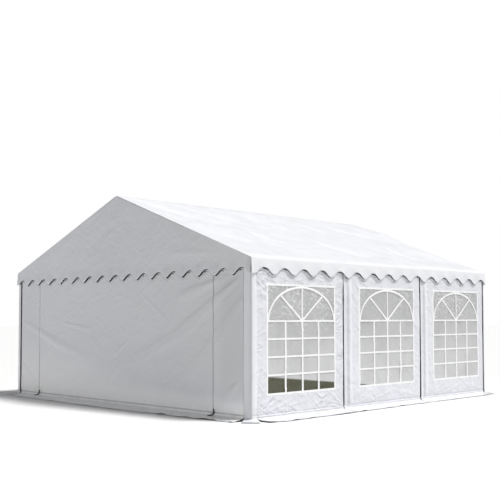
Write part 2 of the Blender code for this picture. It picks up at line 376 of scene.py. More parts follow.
class Finish:
    """The base of every finish: makes its material once."""

    name = "finish"

    def material(self) -> bpy.types.Material:
        """The finish's material, made on the first call."""
        made = bpy.data.materials.get(self.name)
        if made is None:
            made = bpy.data.materials.new(self.name)
            made.use_nodes = True
            graph = NodeGraph(made.node_tree)
            self.wire(graph, made.node_tree.nodes["Principled BSDF"])
        return made

    def wire(self, graph: NodeGraph, shader: bpy.types.Node) -> None:
        """Sets the shader's sockets and the nodes that feed them."""
        raise NotImplementedError


def rgba(colour: Colour) -> tuple[float, float, float, float]:
    """A colour with full alpha."""
    return (*colour, 1.0)


@dataclass(frozen=True)
class Sheeting(Finish):
    """White PVC-coated fabric: fine weave under a satin coat, crumple marks, and dust near the ground.

    A sheet's tone attribute brightens it where it lies in two plies and where light is painted on it, and
    darkens it where shade is painted on it.
    """

    name: str = "coated_sheeting"
    colour: Colour = (0.793, 0.802, 0.842)
    tired: Colour = (0.768, 0.779, 0.823)
    # The colour for two plies and for painted light, where the tone is above 0.
    doubled: Colour = (0.87, 0.876, 0.905)
    # The colour for painted shade, where the tone is below 0.
    worn: Colour = (0.56, 0.565, 0.58)
    dust: Colour = (0.60, 0.59, 0.56)
    roughness: float = 0.42
    crumple: float = 0.011

    def wire(self, graph: NodeGraph, shader: bpy.types.Node) -> None:
        """Feeds colour, roughness and relief from the place on the tent."""
        place, cloth = graph.place(), graph.cloth()
        layers_and_painted_light = graph.add("ShaderNodeAttribute", attribute_name="doubled").outputs["Fac"]
        graph.feed(shader, "Base Color", self.shade(graph, place, layers_and_painted_light))
        smooth, matt = self.roughness - 0.07, self.roughness + 0.1
        rough = graph.between(graph.noise(place, 5.0, 4.0), 0.3, 0.7, smooth, matt)
        graph.feed(shader, "Roughness", rough)
        marks = graph.times(self.marks(graph, cloth), self.loose(graph, place, layers_and_painted_light))
        keys = {"Vector": cloth, "Scale": 90.0}
        threads = [graph.add("ShaderNodeTexWave", keys, bands_direction=way) for way in ("X", "Y")]
        weave = graph.times(graph.plus(*[wave.outputs["Fac"] for wave in threads]), 0.00002)
        graph.emboss(shader, graph.plus(marks, weave))

    def shade(self, graph: NodeGraph, place: Socket, layers_and_painted_light: Socket) -> Socket:
        """The colour, with cloudy patches, two-ply places, painted light and painted shade, and dust up to
        0.22 m.
        """
        cloudy = graph.between(graph.noise(place, 1.3, 3.0), 0.35, 0.7, 0.0, 1.0)
        single = graph.blend(cloudy, rgba(self.colour), rgba(self.tired))
        shaded = graph.blend(graph.between(layers_and_painted_light, -1.0, 0.0, 1.0, 0.0), single, rgba(self.worn))
        white = graph.blend(graph.maths("MAXIMUM", layers_and_painted_light, 0.0), shaded, rgba(self.doubled))
        low = graph.between(graph.axes(place)[2], 0.0, 0.22, 1.0, 0.0)
        patchy = graph.between(graph.noise(place, 9.0, 5.0), 0.42, 0.72, 0.0, 0.4)
        return graph.blend(graph.times(low, patchy), white, rgba(self.dust))

    def loose(self, graph: NodeGraph, place: Socket, layers_and_painted_light: Socket) -> Socket:
        """1 where the sheeting is free to crumple, and less where it is two-ply or painted lighter, where its
        painted shade is deepest, and round a corner.
        """
        free = graph.between(layers_and_painted_light, 0.2, 1.0, 1.0, 0.25)
        free = graph.times(free, graph.between(layers_and_painted_light, -1.0, -0.7, 0.1, 1.0))
        sides = graph.axes(place)
        wrapped = graph.between(graph.maths("ABSOLUTE", sides[1]), 2.93, 2.955, 0.0, 1.0)
        post = graph.between(graph.maths("ABSOLUTE", sides[0]), 2.835, 2.855, 0.0, 0.9)
        return graph.times(free, graph.minus(1.0, graph.times(wrapped, post)))

    def marks(self, graph: NodeGraph, cloth: Socket) -> Socket:
        """The height of the crumple marks: small dents, creases that come and go, and fans at corners."""
        bent = graph.warped(cloth, 1.7, 0.18)
        total = graph.times(graph.noise(bent, 13.0, 2.0), self.crumple * 0.55)
        kinds = ((24.0, 0.17, 1.0), (-36.0, 0.12, 0.75), (10.0, 0.055, 0.55), (64.0, 0.08, 0.45))
        for lean, size, share in kinds:
            total = graph.plus(total, self.streaks(graph, bent, lean, size, share))
        turn = graph.axes(graph.add("ShaderNodeAttribute", attribute_name="pull").outputs["Vector"])
        spot = graph.vector(graph.times(turn[0], 2.2), graph.times(turn[1], 2.4), 0.0)
        fan = graph.times(graph.ridges(spot, 1.0, 0.11), turn[2])
        return graph.plus(total, graph.times(fan, self.crumple * 1.1))

    def streaks(self, graph: NodeGraph, cloth: Socket, lean: float, size: float, share: float) -> Socket:
        """Creases that run mostly one way.

        Args:
            graph: The material's graph.
            cloth: The place on the cloth.
            lean: Their direction above the horizontal, in degrees.
            size: The distance between them.
            share: Their height as a share of the crumple height.

        Returns:
            Their height.
        """
        sharp = graph.ridges(graph.leaning(cloth, lean), 0.8 / size, 0.13)
        there = graph.between(graph.noise(cloth, 0.28 / size, 1.0), 0.42, 0.60, 0.10, 1.0)
        return graph.times(graph.times(sharp, there), self.crumple * share)


EVEN_SHEETING = Sheeting(name="even_sheeting", crumple=0.0055)
# The ends' sheeting: less crumpled, and painted darker than the long walls' as shade on the ends; its brighter
# colour serves two plies and the painted light at the foot.
CALM_SHADED_SHEETING = Sheeting(
    name="calm_sheeting",
    colour=(0.659, 0.669, 0.701),
    tired=(0.641, 0.652, 0.685),
    doubled=(0.97, 0.973, 0.98),
    crumple=0.0022,
)
# The roof's sheeting: less crumpled, and painted a little whiter than the walls' as light on the roof.
ROOF_SHEETING = Sheeting(
    name="roof_sheeting",
    colour=(0.83, 0.836, 0.863),
    tired=(0.80, 0.807, 0.838),
    doubled=(0.895, 0.901, 0.922),
    crumple=0.0016,
)


@dataclass(frozen=True)
class Foil(Finish):
    """Window foil that has turned milky, with white marks along its crinkles that are painted glints as well
    as stress marks.

    Below a slanting line it is clearer, and its colour is a painted shade for the shaded ground inside the
    tent, which shows through it. The line is where the foot of the far wall is seen from the camera.

    Attributes:
        colour: The milky foil.
        glints_and_stress_marks: Its white marks, painted glints as well as stress marks.
        alpha: How much it covers where it has no milk, and where it has most.
        tint: The colour of the clearer foil, painted shade for the ground inside the tent.
        clear: The height of the slanting line at the middle of a side, and its fall per metre.
        clear_alpha: How much the clear foil covers.
    """

    name: str = "milky_foil"
    colour: Colour = (0.56, 0.562, 0.572)
    glints_and_stress_marks: Colour = (0.86, 0.865, 0.87)
    roughness: float = 0.13
    alpha: tuple[float, float] = (0.78, 0.94)
    tint: Colour = (0.142, 0.146, 0.088)
    clear: tuple[float, float] = (0.306, 0.1015)
    clear_alpha: float = 0.45

    def wire(self, graph: NodeGraph, shader: bpy.types.Node) -> None:
        """Feeds milkiness, crinkles, the white marks that are painted glints as well as stress marks, and the
        painted shade below the line, from the place on the tent.
        """
        shader.inputs["IOR"].default_value = 1.6
        place, cloth = graph.place(), graph.cloth()
        out, along, height = graph.axes(place)
        crinkle = self.crinkle(graph, place, cloth)
        hazy = graph.between(graph.noise(place, 2.2, 4.0), 0.3, 0.7, 0.0, 0.22)
        lower = graph.between(height, 0.7, 1.5, 0.30, 0.0)
        milk = graph.maths("MAXIMUM", graph.plus(hazy, lower), graph.times(crinkle, 0.9))
        across = graph.times(along, graph.maths("SIGN", out))
        line, fall = self.clear
        level = graph.plus(height, graph.times(across, fall))
        clear = graph.between(level, line - 0.01, line + 0.01, 1.0, 0.0)
        # The white marks are painted glints as well as stress marks.
        milky = graph.blend(milk, rgba(self.colour), rgba(self.glints_and_stress_marks))
        # Below the slanting line the foil is painted dark, as shade for the ground inside.
        graph.feed(shader, "Base Color", graph.blend(clear, milky, rgba(self.tint)))
        cover = graph.between(milk, 0.0, 1.0, *self.alpha)
        graph.feed(shader, "Alpha", graph.between(clear, 0.0, 1.0, cover, self.clear_alpha))
        smooth, matt = self.roughness - 0.06, self.roughness + 0.08
        rough = graph.between(graph.noise(place, 7.0, 4.0), 0.3, 0.7, smooth, matt)
        graph.feed(shader, "Roughness", rough)
        small = graph.times(graph.noise(cloth, 15.0, 2.0), 0.006)
        graph.emboss(shader, graph.plus(graph.times(crinkle, 0.005), small))

    def crinkle(self, graph: NodeGraph, place: Socket, cloth: Socket) -> Socket:
        """The white marks, painted glints as well as stress marks, from 0 to 1: patches in the upper part, and
        more towards both ends.
        """
        _, along, height = graph.axes(place)
        upper = graph.between(height, 0.95, 1.55, 0.12, 1.0)
        patchy = graph.between(graph.noise(place, 2.6, 2.0), 0.30, 0.55, 0.35, 1.0)
        outer = graph.between(graph.maths("ABSOLUTE", along), 0.4, 1.6, 0.5, 0.9)
        there = graph.times(graph.times(upper, patchy), outer)
        rising = graph.times(self.streaks(graph, cloth, 40.0), 0.6)
        return graph.times(graph.maths("MAXIMUM", self.streaks(graph, cloth, -24.0), rising), there)

    def streaks(self, graph: NodeGraph, cloth: Socket, lean: float) -> Socket:
        """Short wavy marks that lean one way, from 0 to 1."""
        narrow = graph.leaning(graph.warped(cloth, 9.0, 0.045), lean)
        return graph.between(graph.noise(narrow, 34.0, 1.0), 0.48, 0.65, 0.0, 1.0)


@dataclass(frozen=True)
class Tape(Finish):
    """Welded white tape, brighter and smoother than the sheeting: window bars, borders and hems."""

    name: str = "white_welded_tape"
    colour: Colour = (0.98, 0.98, 0.98)
    tired: Colour = (0.96, 0.96, 0.965)

    def wire(self, graph: NodeGraph, shader: bpy.types.Node) -> None:
        """Feeds slight changes of white and a fine ripple."""
        place = graph.place()
        patchy = graph.between(graph.noise(place, 6.0, 4.0), 0.4, 0.7, 0.0, 1.0)
        graph.feed(shader, "Base Color", graph.blend(patchy, rgba(self.colour), rgba(self.tired)))
        graph.feed(shader, "Roughness", graph.between(graph.noise(place, 30.0, 3.0), 0.3, 0.7, 0.3, 0.45))
        graph.emboss(shader, graph.times(graph.noise(place, 45.0, 3.0), 0.0006))


@dataclass(frozen=True)
class ZipPlastic(Finish):
    """Moulded zip chain and its woven tape, or the dark rubber of its puller."""

    name: str = "grey_zip"
    colour: Colour = (0.34, 0.34, 0.35)
    worn: Colour = (0.46, 0.46, 0.47)

    def wire(self, graph: NodeGraph, shader: bpy.types.Node) -> None:
        """Feeds worn patches and a slight grain."""
        place = graph.place()
        patchy = graph.between(graph.noise(place, 12.0, 4.0), 0.4, 0.7, 0.0, 1.0)
        graph.feed(shader, "Base Color", graph.blend(patchy, rgba(self.colour), rgba(self.worn)))
        graph.feed(shader, "Roughness", graph.between(graph.noise(place, 60.0, 2.0), 0.3, 0.7, 0.35, 0.55))
        graph.emboss(shader, graph.times(graph.noise(place, 300.0, 2.0), 0.0002))


PULLER_RUBBER = ZipPlastic("black_puller_rubber", (0.012, 0.012, 0.013), (0.035, 0.035, 0.036))


@dataclass(frozen=True)
class ZincSteel(Finish):
    """Hot-dip galvanised steel with faint crystals of zinc."""

    name: str = "galvanised_steel_tube"
    colour: Colour = (0.60, 0.62, 0.64)
    dull: Colour = (0.46, 0.48, 0.50)

    def wire(self, graph: NodeGraph, shader: bpy.types.Node) -> None:
        """Feeds the crystals, streaks and a slight unevenness."""
        shader.inputs["Metallic"].default_value = 0.85
        place = graph.place()
        cells = graph.add("ShaderNodeTexVoronoi", {"Vector": place, "Scale": 90.0}).outputs["Color"]
        tone = graph.axes(cells)[0]
        streaks = graph.times(graph.noise(place, 4.0, 5.0), 0.9)
        share = graph.plus(graph.times(tone, 0.35), streaks)
        graph.feed(shader, "Base Color", graph.blend(share, rgba(self.colour), rgba(self.dull)))
        graph.feed(shader, "Roughness", graph.between(tone, 0.0, 1.0, 0.34, 0.5))
        graph.emboss(shader, graph.times(graph.noise(place, 80.0, 3.0), 0.0002))


@dataclass(frozen=True)
class PaleFloor(Finish):
    """A plain pale floor."""

    name: str = "pale_floor"
    colour: Colour = (0.84, 0.84, 0.84)

    def wire(self, graph: NodeGraph, shader: bpy.types.Node) -> None:
        """Feeds a very faint unevenness of tone."""
        shader.inputs["Roughness"].default_value = 0.8
        place = graph.place()
        faint = graph.between(graph.noise(place, 0.7, 2.0), 0.3, 0.7, 0.0, 0.04)
        darker = rgba(tuple(c * 0.9 for c in self.colour))
        graph.feed(shader, "Base Color", graph.blend(faint, rgba(self.colour), darker))


def placed(name: str, data: bpy.types.ID) -> bpy.types.Object:
    """A new object in the scene that holds this mesh, light or camera."""
    thing = bpy.data.objects.new(name, data)
    bpy.context.scene.collection.objects.link(thing)
    return thing


class Workshop:
    """Turns meshes into pieces of the tent."""

    def grid(
        self,
        name: str,
        places: Field,
        cloth: Field,
        keep: Field | None = None,
        doubled: Field | None = None,
        pull: Field | None = None,
    ) -> bpy.types.Mesh:
        """A mesh over a grid of points.

        Args:
            name: The mesh's name.
            places: Points by row and column.
            cloth: The same points on the flat cloth, in metres.
            keep: Which cells to make, by row and column, or None for all.
            doubled: At each point, 0 for one ply of sheeting, 1 for two plies and for painted light, and below
                0 for painted shade.
            pull: At each point, the nearest corner's direction and distance, and the strength of its folds.

        Returns:
            The mesh, with a UV map named cloth and point attributes for its tone and its pull.
        """
        rows, columns = places.shape[:2]
        number = np.arange(rows * columns).reshape(rows, columns)
        cells = np.stack([number[:-1, :-1], number[:-1, 1:], number[1:, 1:], number[1:, :-1]], axis=-1)
        cells = cells.reshape(-1, 4) if keep is None else cells[keep]
        used, corners = np.unique(cells, return_inverse=True)
        mesh = bpy.data.meshes.new(name)
        mesh.from_pydata(places.reshape(-1, 3)[used].tolist(), [], corners.reshape(-1, 4).tolist())
        layer = mesh.uv_layers.new(name="cloth")
        flat = cloth.reshape(-1, 2)[used][corners.reshape(-1)]
        layer.data.foreach_set("uv", flat.astype(np.float32).ravel())
        if doubled is not None:
            share = mesh.attributes.new("doubled", "FLOAT", "POINT")
            share.data.foreach_set("value", doubled.reshape(-1)[used].astype(np.float32))
        if pull is not None:
            fan = mesh.attributes.new("pull", "FLOAT_VECTOR", "POINT")
            fan.data.foreach_set("vector", pull.reshape(-1, 3)[used].astype(np.float32).ravel())
        mesh.shade_smooth()
        return mesh

    def piece(
        self, name: str, mesh: bpy.types.Mesh, finish: Finish, slot: str, stands_for: Sequence[str] = ()
    ) -> bpy.types.Object:
        """Adds a finished mesh to the tent.

        Args:
            name: The piece's name.
            mesh: Its mesh, in the tent's frame.
            finish: What it is made of.
            slot: The name of a material slot. It is not used.
            stands_for: The CAD nodes that it replaces.

        Returns:
            The piece.
        """
        thing = placed(name, mesh)
        mesh.materials.clear()
        mesh.materials.append(finish.material())
        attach(thing, "root")
        if stands_for:
            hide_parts(*stands_for)
        LOG.info("%s: %d faces", name, len(mesh.polygons))
        return thing

    def thicken(self, thing: bpy.types.Object, thickness: float) -> None:
        """Gives a sheet its thickness, inwards from its outer face."""
        solid = thing.modifiers.new("thickness", "SOLIDIFY")
        solid.thickness = thickness
        solid.offset = -1.0

    def grown(
        self, tree: bpy.types.NodeTree, sizes: dict[str, object], line: Field | None = None
    ) -> bpy.types.Mesh:
        """The mesh that a geometry tree makes.

        Args:
            tree: The tree.
            sizes: A value for each of its named inputs.
            line: Points of the line that the tree's Line input holds, if it has one.

        Returns:
            A plain mesh.
        """
        start = bpy.data.meshes.new("holder")
        if line is not None:
            start.from_pydata(line.tolist(), [(k, k + 1) for k in range(len(line) - 1)], [])
        holder = placed("holder", start)
        modifier = holder.modifiers.new("grow", "NODES")
        modifier.node_group = tree
        given = [item for item in tree.interface.items_tree if item.in_out == "INPUT"]
        sockets = {item.name: item.identifier for item in given}
        for label, value in sizes.items():
            modifier[sockets[label]] = value
        graph = bpy.context.evaluated_depsgraph_get()
        mesh = bpy.data.meshes.new_from_object(holder.evaluated_get(graph))
        holder.modifiers.remove(modifier)
        bpy.data.objects.remove(holder)
        return mesh

    def shift(self, mesh: bpy.types.Mesh, move: Callable[[Field], Field]) -> None:
        """Moves a mesh's vertices with a function of their places."""
        places = np.empty(len(mesh.vertices) * 3, dtype=np.float32)
        mesh.vertices.foreach_get("co", places)
        moved = move(places.reshape(-1, 3).astype(float))
        mesh.vertices.foreach_set("co", moved.astype(np.float32).ravel())
        mesh.update()


SHOP = Workshop()


def geometry_tree(name: str, inputs: dict[str, str]) -> tuple[NodeGraph, bpy.types.Node]:
    """An empty geometry tree.

    Args:
        name: The tree's name.
        inputs: The kind of each named input, such as Float or Vector.

    Returns:
        The graph, and its group input node.
    """
    tree = bpy.data.node_groups.new(name, "GeometryNodeTree")
    for label, kind in inputs.items():
        tree.interface.new_socket(label, in_out="INPUT", socket_type="NodeSocket" + kind)
    tree.interface.new_socket("Geometry", in_out="OUTPUT", socket_type="NodeSocketGeometry")
    graph = NodeGraph(tree)
    return graph, graph.add("NodeGroupInput")


def joined(graph: NodeGraph, parts: Sequence[Socket]) -> Socket:
    """Several geometries as one."""
    join = graph.add("GeometryNodeJoinGeometry")
    for part in parts:
        graph.tree.links.new(part, join.inputs[0])
    return join.outputs[0]


def swept(graph: NodeGraph, line: Socket, section: Socket) -> Socket:
    """A section drawn along a line, with closed ends."""
    keys = {"Curve": line, "Profile Curve": section, "Fill Caps": True}
    return graph.add("GeometryNodeCurveToMesh", keys).outputs[0]


def repeated(graph: NodeGraph, count: object, start: Socket, step: Socket, block: Socket) -> Socket:
    """A block over and over, by equal steps from its first place on."""
    line = graph.add("GeometryNodeMeshLine", {"Count": count, "Start Location": start, "Offset": step})
    keys = {"Points": line.outputs[0], "Instance": block}
    return graph.add("GeometryNodeInstanceOnPoints", keys).outputs[0]


def close_tree(graph: NodeGraph, parts: Sequence[Socket], material: Socket) -> bpy.types.NodeTree:
    """Joins a geometry tree's parts, makes instances real, sets the material and ends the tree."""
    real = graph.add("GeometryNodeRealizeInstances", {0: joined(graph, parts)})
    dressed = graph.add("GeometryNodeSetMaterial", {"Geometry": real.outputs[0], "Material": material})
    graph.add("NodeGroupOutput", {0: dressed.outputs[0]})
    return graph.tree


@dataclass(frozen=True)
class Piping:
    """A round cord sewn or welded along a line of points."""

    radius: float = 0.0022
    sides: int = 6

    def tree(self) -> bpy.types.NodeTree:
        """The geometry tree that sweeps a round section along the line that it is given."""
        made = bpy.data.node_groups.get("piping")
        if made:
            return made
        kinds = {"Line": "Geometry", "Radius": "Float", "Sides": "Int", "Material": "Material"}
        graph, given = geometry_tree("piping", kinds)
        curve = graph.add("GeometryNodeMeshToCurve", {"Mesh": given.outputs["Line"]})
        keys = {"Resolution": given.outputs["Sides"], "Radius": given.outputs["Radius"]}
        section = graph.add("GeometryNodeCurvePrimitiveCircle", keys)
        cord = swept(graph, curve.outputs[0], section.outputs[0])
        return close_tree(graph, [cord], given.outputs["Material"])

    def mesh(self, lines: Sequence[Field], finish: Finish) -> bpy.types.Mesh:
        """The cords along several lines, joined in one mesh."""
        sizes = {"Radius": self.radius, "Sides": self.sides, "Material": finish.material()}
        shape = bmesh.new()
        for line in lines:
            part = SHOP.grown(self.tree(), sizes, line)
            shape.from_mesh(part)
            bpy.data.meshes.remove(part)
        whole = bpy.data.meshes.new("piping")
        shape.to_mesh(whole)
        shape.free()
        whole.shade_smooth()
        return whole


@dataclass(frozen=True)
class Scallops:
    """The wavy lower edge of a valance, with a tip at both ends when it isn't shifted.

    Attributes:
        half: Half its length.
        count: How many scallops it has.
        shift: How far they are moved along it.
        notch: How far it hangs below the eave between two lobes.
        tip: How far it hangs at a lobe's tip.
        curl: How far one flank of each lobe turns out and the other turns in.
    """

    half: float
    count: int
    shift: float = 0.0
    notch: float = 0.128
    tip: float = 0.219
    curl: float = 0.008

    def phase(self, along: Field) -> Field:
        """The place in a scallop, as an angle: 0 at a tip and half a turn on at a notch."""
        return 2 * math.pi * self.count * (along + self.half - self.shift) / (2 * self.half)

    def depth(self, along: Field) -> Field:
        """How far the valance hangs below the eave."""
        wave = np.cos(self.phase(along))
        blunt = 1.28 * wave - 0.28 * wave**3
        return (self.notch + self.tip) / 2 + (self.tip - self.notch) / 2 * blunt

    def flare(self, along: Field, drop: Field) -> Field:
        """How far the valance stands out: its lobes curl outwards and it sways a little."""
        lobe = 0.5 + 0.5 * np.cos(self.phase(along))
        sway = Relief(23).waves(along, drop, 0.45)
        small = Relief(24).creases(along, drop, 0.10, 60.0, 1.5)
        turned = -self.curl * np.sin(self.phase(along) + 0.5)
        swing = ease(drop, 0.015, 0.21) * (0.007 + 0.005 * lobe + 0.004 * sway + turned)
        return swing + 0.004 * small * ease(drop, 0.01, 0.06)


LONG_SCALLOPS = Scallops(HALF, 15, shift=0.045)
GABLE_SCALLOPS = Scallops(HALF - 0.0035, 17, curl=-0.006)


@dataclass(frozen=True)
class WallPath:
    """The line that a wall sheet follows in plan, with its wrap around the corner posts."""

    corner: float = CORNER_POST
    bend: float = POST_BEND

    def place(self, side: Side, across: Field, out: Field, up: Field) -> Field:
        """Points of a wall sheet in the tent's frame.

        Args:
            side: The side that the sheet hangs on.
            across: Distance along the sheet. Past a corner post it runs on round the corner.
            out: Distance of the sheet from the tent's middle plane.
            up: Height above the ground.

        Returns:
            The points.
        """
        across, out, up = np.broadcast_arrays(across, out, up)
        past = np.abs(across) - self.corner
        hand = np.sign(across)
        turn = np.clip(past / self.bend, 0.0, 1.0) * math.pi / 2
        beyond = np.clip(past - self.bend, 0.0, None)
        reach = out - self.corner
        level = np.where(past < 0, across, hand * (self.corner + reach * np.sin(turn)))
        depth = self.corner + reach * np.cos(turn) - beyond
        return side.place(level, depth, up)


@dataclass(frozen=True)
class Flap:
    """The part of a skirt at a corner, cut loose from its neighbours and spread over the chamfered corner.

    Attributes:
        low: Where it starts across the sheet.
        high: Where it ends.
        start: Where its hem starts on the ground, across and out.
        end: Where its hem ends.
    """

    low: float
    high: float
    start: tuple[float, float] = (-3.178, 2.992)
    end: tuple[float, float] = (-2.992, 3.178)

    def hem(self, side: Side, across: Field) -> Field:
        """Where each line of the flap meets the ground."""
        share = np.clip((across - self.low) / (self.high - self.low), 0.0, 1.0)
        level = self.start[0] + (self.end[0] - self.start[0]) * share
        out = self.start[1] + (self.end[1] - self.start[1]) * share
        return side.place(level, out, np.zeros_like(share))

    def holds(self, across: Field) -> Field:
        """Whether a place across the sheet belongs to the flap."""
        return (across >= self.low - TINY) & (across <= self.high + TINY)

    def gap(self, across: Field) -> Field:
        """The distance to the flap's nearer side."""
        return np.minimum(np.abs(across - self.high), np.abs(across - self.low))


@dataclass
class WallSheet:
    """A wall sheet: it hangs from the eave, bends at the ground rail and spreads out as a skirt.

    Attributes:
        left: Its left edge across the side. Past a corner post it runs on round the corner.
        right: Its right edge.
        strip: From where to where its pocket lies over a post, or None.
        flap: The part of its skirt that is cut loose at a corner, or None.
        step: The distance between grid lines.
        skirt: The skirt's length on the flat cloth.
    """

    name: str
    side: Side
    left: float
    right: float
    crumple: Crumple
    folds: tuple[Fold, ...] = ()
    strip: tuple[float, float] | None = None
    flap: Flap | None = None
    step: float = 0.02
    skirt: float = 0.24
    finish: Finish = field(default_factory=Sheeting)
    path: WallPath = field(default_factory=WallPath)

    @property
    def long_side(self) -> bool:
        """Whether the sheet hangs on one of the sides with windows."""
        return self.side in (Side.RIGHT, Side.LEFT)

    def over_posts(self, across: Field) -> Field:
        """1 where the sheet lies over a post, and 0 away from posts."""
        between = (-BAY / 2, BAY / 2) if self.long_side else ()
        posts = (-CORNER_POST, *between, CORNER_POST)
        near = np.min([np.abs(across - post) for post in posts], axis=0)
        near = np.where(np.abs(across) > CORNER_POST, 0.0, near)
        return 1.0 - ease(near, 0.035, 0.10)

    def backed(self, across: Field, up: Field) -> Field:
        """1 where a post or a rail lies right behind the sheet, and 0 where it hangs free."""
        rail = 1.0 - ease(up, 0.066, 0.085)
        tie = np.zeros_like(rail) if self.long_side else ease(up, 1.97, 2.01)
        return np.max(np.broadcast_arrays(self.over_posts(across), rail, tie), axis=0)

    def out(self, across: Field, up: Field) -> Field:
        """Distance of the sheet's outer face from the tent's middle plane, above the skirt."""
        relief = self.crumple.relief(across, up)
        for fold in self.folds:
            relief = relief + fold.relief(across, up)
        backed = self.backed(across, up)
        held = np.maximum(backed, 1.0 - ease(up, 0.07, 0.20))
        face = WALL_FACE + 0.003 + relief * (1.0 - 0.65 * held)
        # A doubled lap above the crease, with a groove over it where the rail draws the sheet in.
        before = 1.0 - ease(np.abs(across), CORNER_POST, CORNER_POST + 0.02)
        lap = 0.007 * (1.0 - ease(up, CREASE + 0.015, CREASE + 0.020))
        groove = 0.006 * bump(up, 0.074, 0.010)
        face = face + before * (lap - groove)
        # The sheet stays behind the valance, and never sinks into a post or a rail.
        most = 0.0135 - 0.0075 * ease(up, 1.88, 1.96)
        face = WALL_FACE + soft_limit(face - WALL_FACE, 0.0005 + 0.030 * (1.0 - backed), most)
        if self.strip:
            filled = ease(up, 0.04, 0.14) * (1.0 - 0.75 * ease(up, 1.75, 1.93))
            face = face + self.pocket(across) * filled
        return np.maximum(face, WALL_FACE - 0.035 * (1.0 - backed))

    def pocket(self, across: Field) -> Field:
        """How far the sheet bulges over its post: two rounded ribs with a valley between them.

        At a corner it is one flat rib with a valley beside it.
        """
        low, high = self.strip
        if low < -CORNER_POST + 0.01:
            rib = 0.006 * (1.0 - ease(across, high - 0.02, high))
            return rib - 0.006 * ease(across, high - 0.004, high + 0.012)
        edge = 0.010 * bump(across, low + 0.018, 0.022)
        flank = ease(across, low + 0.078, low + 0.118) * (1.0 - ease(across, low + 0.155, high + 0.01))
        return edge - 0.005 * bump(across, low + 0.070, 0.026) + 0.019 * flank

    def top(self, across: Field) -> Field:
        """Height of the sheet's upper edge.

        It lies just behind the valance's scallops, and sags at one flank of each notch between them, so that
        a dark gap shows there. On the ends the same flank is seen from the other side.
        """
        scallops = LONG_SCALLOPS if self.long_side else GABLE_SCALLOPS
        hand = 1.0 if self.long_side else -1.0
        seen = across - hand * VALANCE_SHIFT
        turn = hand * (scallops.phase(seen) / math.pi - 1.0)
        turn = np.mod(turn + 1.0, 2.0) - 1.0
        open_part = ease(turn, -0.30, -0.06) * (1.0 - ease(turn, 0.84, 1.0))
        slack = {Side.RIGHT: 0.016, Side.LEFT: 0.004}.get(self.side, 0.037)
        slack = slack * (1.0 - 0.6 * np.clip(turn, 0.0, 1.0))
        edge = EAVE - scallops.depth(seen) + BEHIND_VALANCE - (BEHIND_VALANCE + slack) * open_part
        round_corner = ease(np.abs(across), HALF - 0.05, HALF - 0.01)
        return edge + (CORNER_TOP - edge) * round_corner

    def columns(self) -> Field:
        """The sheet's grid lines across."""
        if not self.flap:
            return stations(self.left, self.right, self.step)
        lines = stations(self.left, self.right, self.step, (self.flap.low, self.flap.high))
        if self.flap.high < self.right - TINY:
            lines = np.sort(np.append(lines, self.flap.high + SLIT))
        return lines

    def rows(self) -> Field:
        """The sheet's grid lines up, from the crease to the band at the top."""
        low = CREASE + np.array(CREASE_ROWS)
        return np.concatenate([low[:-1], stations(low[-1], TOP_BAND, self.step, self.levels())])

    def levels(self) -> tuple[float, ...]:
        """Heights that need a grid line of their own."""
        return ()

    def holes(self, across: Field, up: Field) -> Field | None:
        """Which cells of the hanging part are cut out, or None."""
        return None

    def skirt_places(self, across: Field, share: Field) -> Field:
        """Points of the skirt.

        Args:
            across: Distance along the sheet, by row and column.
            share: 0 at the crease and 1 at the hem, by row and column.

        Returns:
            The points.
        """
        noise = Relief(self.crumple.seed + 50)
        level = 0.0 * share
        edge = 0.014 * noise.waves(across, level, 0.31) + 0.009 * noise.waves(across, level, 0.10)
        foot = self.path.place(self.side, across, self.out(across, np.full_like(across, CREASE)), CREASE)
        reach = np.interp(across, *np.transpose(LONG_SKIRT if self.long_side else END_SKIRT))
        hem = self.path.place(self.side, across, WALL_FACE + reach - SKIRT_TRIM + edge, level)
        if self.flap:
            hem = np.where(self.flap.holds(across)[..., None], self.flap.hem(self.side, across), hem)
        places = foot + (hem - foot) * share[..., None]
        wrinkle = 0.006 * np.abs(noise.waves(across, share, 0.06))
        wrinkle = wrinkle * ease(share, 0.05, 0.3) * (1.0 - 0.5 * share)
        sunk = (CREASE - HEM_HEIGHT) * (1.0 - share) ** 1.5
        places[..., 2] = HEM_HEIGHT + sunk + self.skirt_lift(across, share, noise) + wrinkle
        # Right under the crease the skirt drops at once, which parts it from the wall with a dark line.
        places[..., 2] -= 0.013 * ease(share, 0.0, 0.010) * (1.0 - ease(share, 0.10, 0.60))
        return places

    def skirt_lift(self, across: Field, share: Field, noise: Relief) -> Field:
        """How far the skirt's loose hem stands off the ground.

        Args:
            across: Distance along the sheet, by row and column.
            share: 0 at the crease and 1 at the hem, by row and column.
            noise: The skirt's relief.

        Returns:
            The height to add.
        """
        ripple = 0.5 + 0.5 * noise.waves(across, 3.0 + 0.4 * share, 0.17)
        loose = 0.014 if self.long_side else 0.022
        wave = loose * np.clip(ripple * 1.8 - 0.95, 0.0, None)
        lift = 0.007 * ease(share, 0.7, 1.0) + wave * ease(share, 0.4, 1.0)
        if not self.flap:
            return lift
        held = self.flap.holds(across)
        beside = (1.0 - ease(self.flap.gap(across), 0.0, 0.16)) * ~held
        lift = lift * ~held + 0.012 * beside * ease(share, 0.3, 1.0)
        return lift + 0.010 * held * ease(share, 0.5, 1.0)

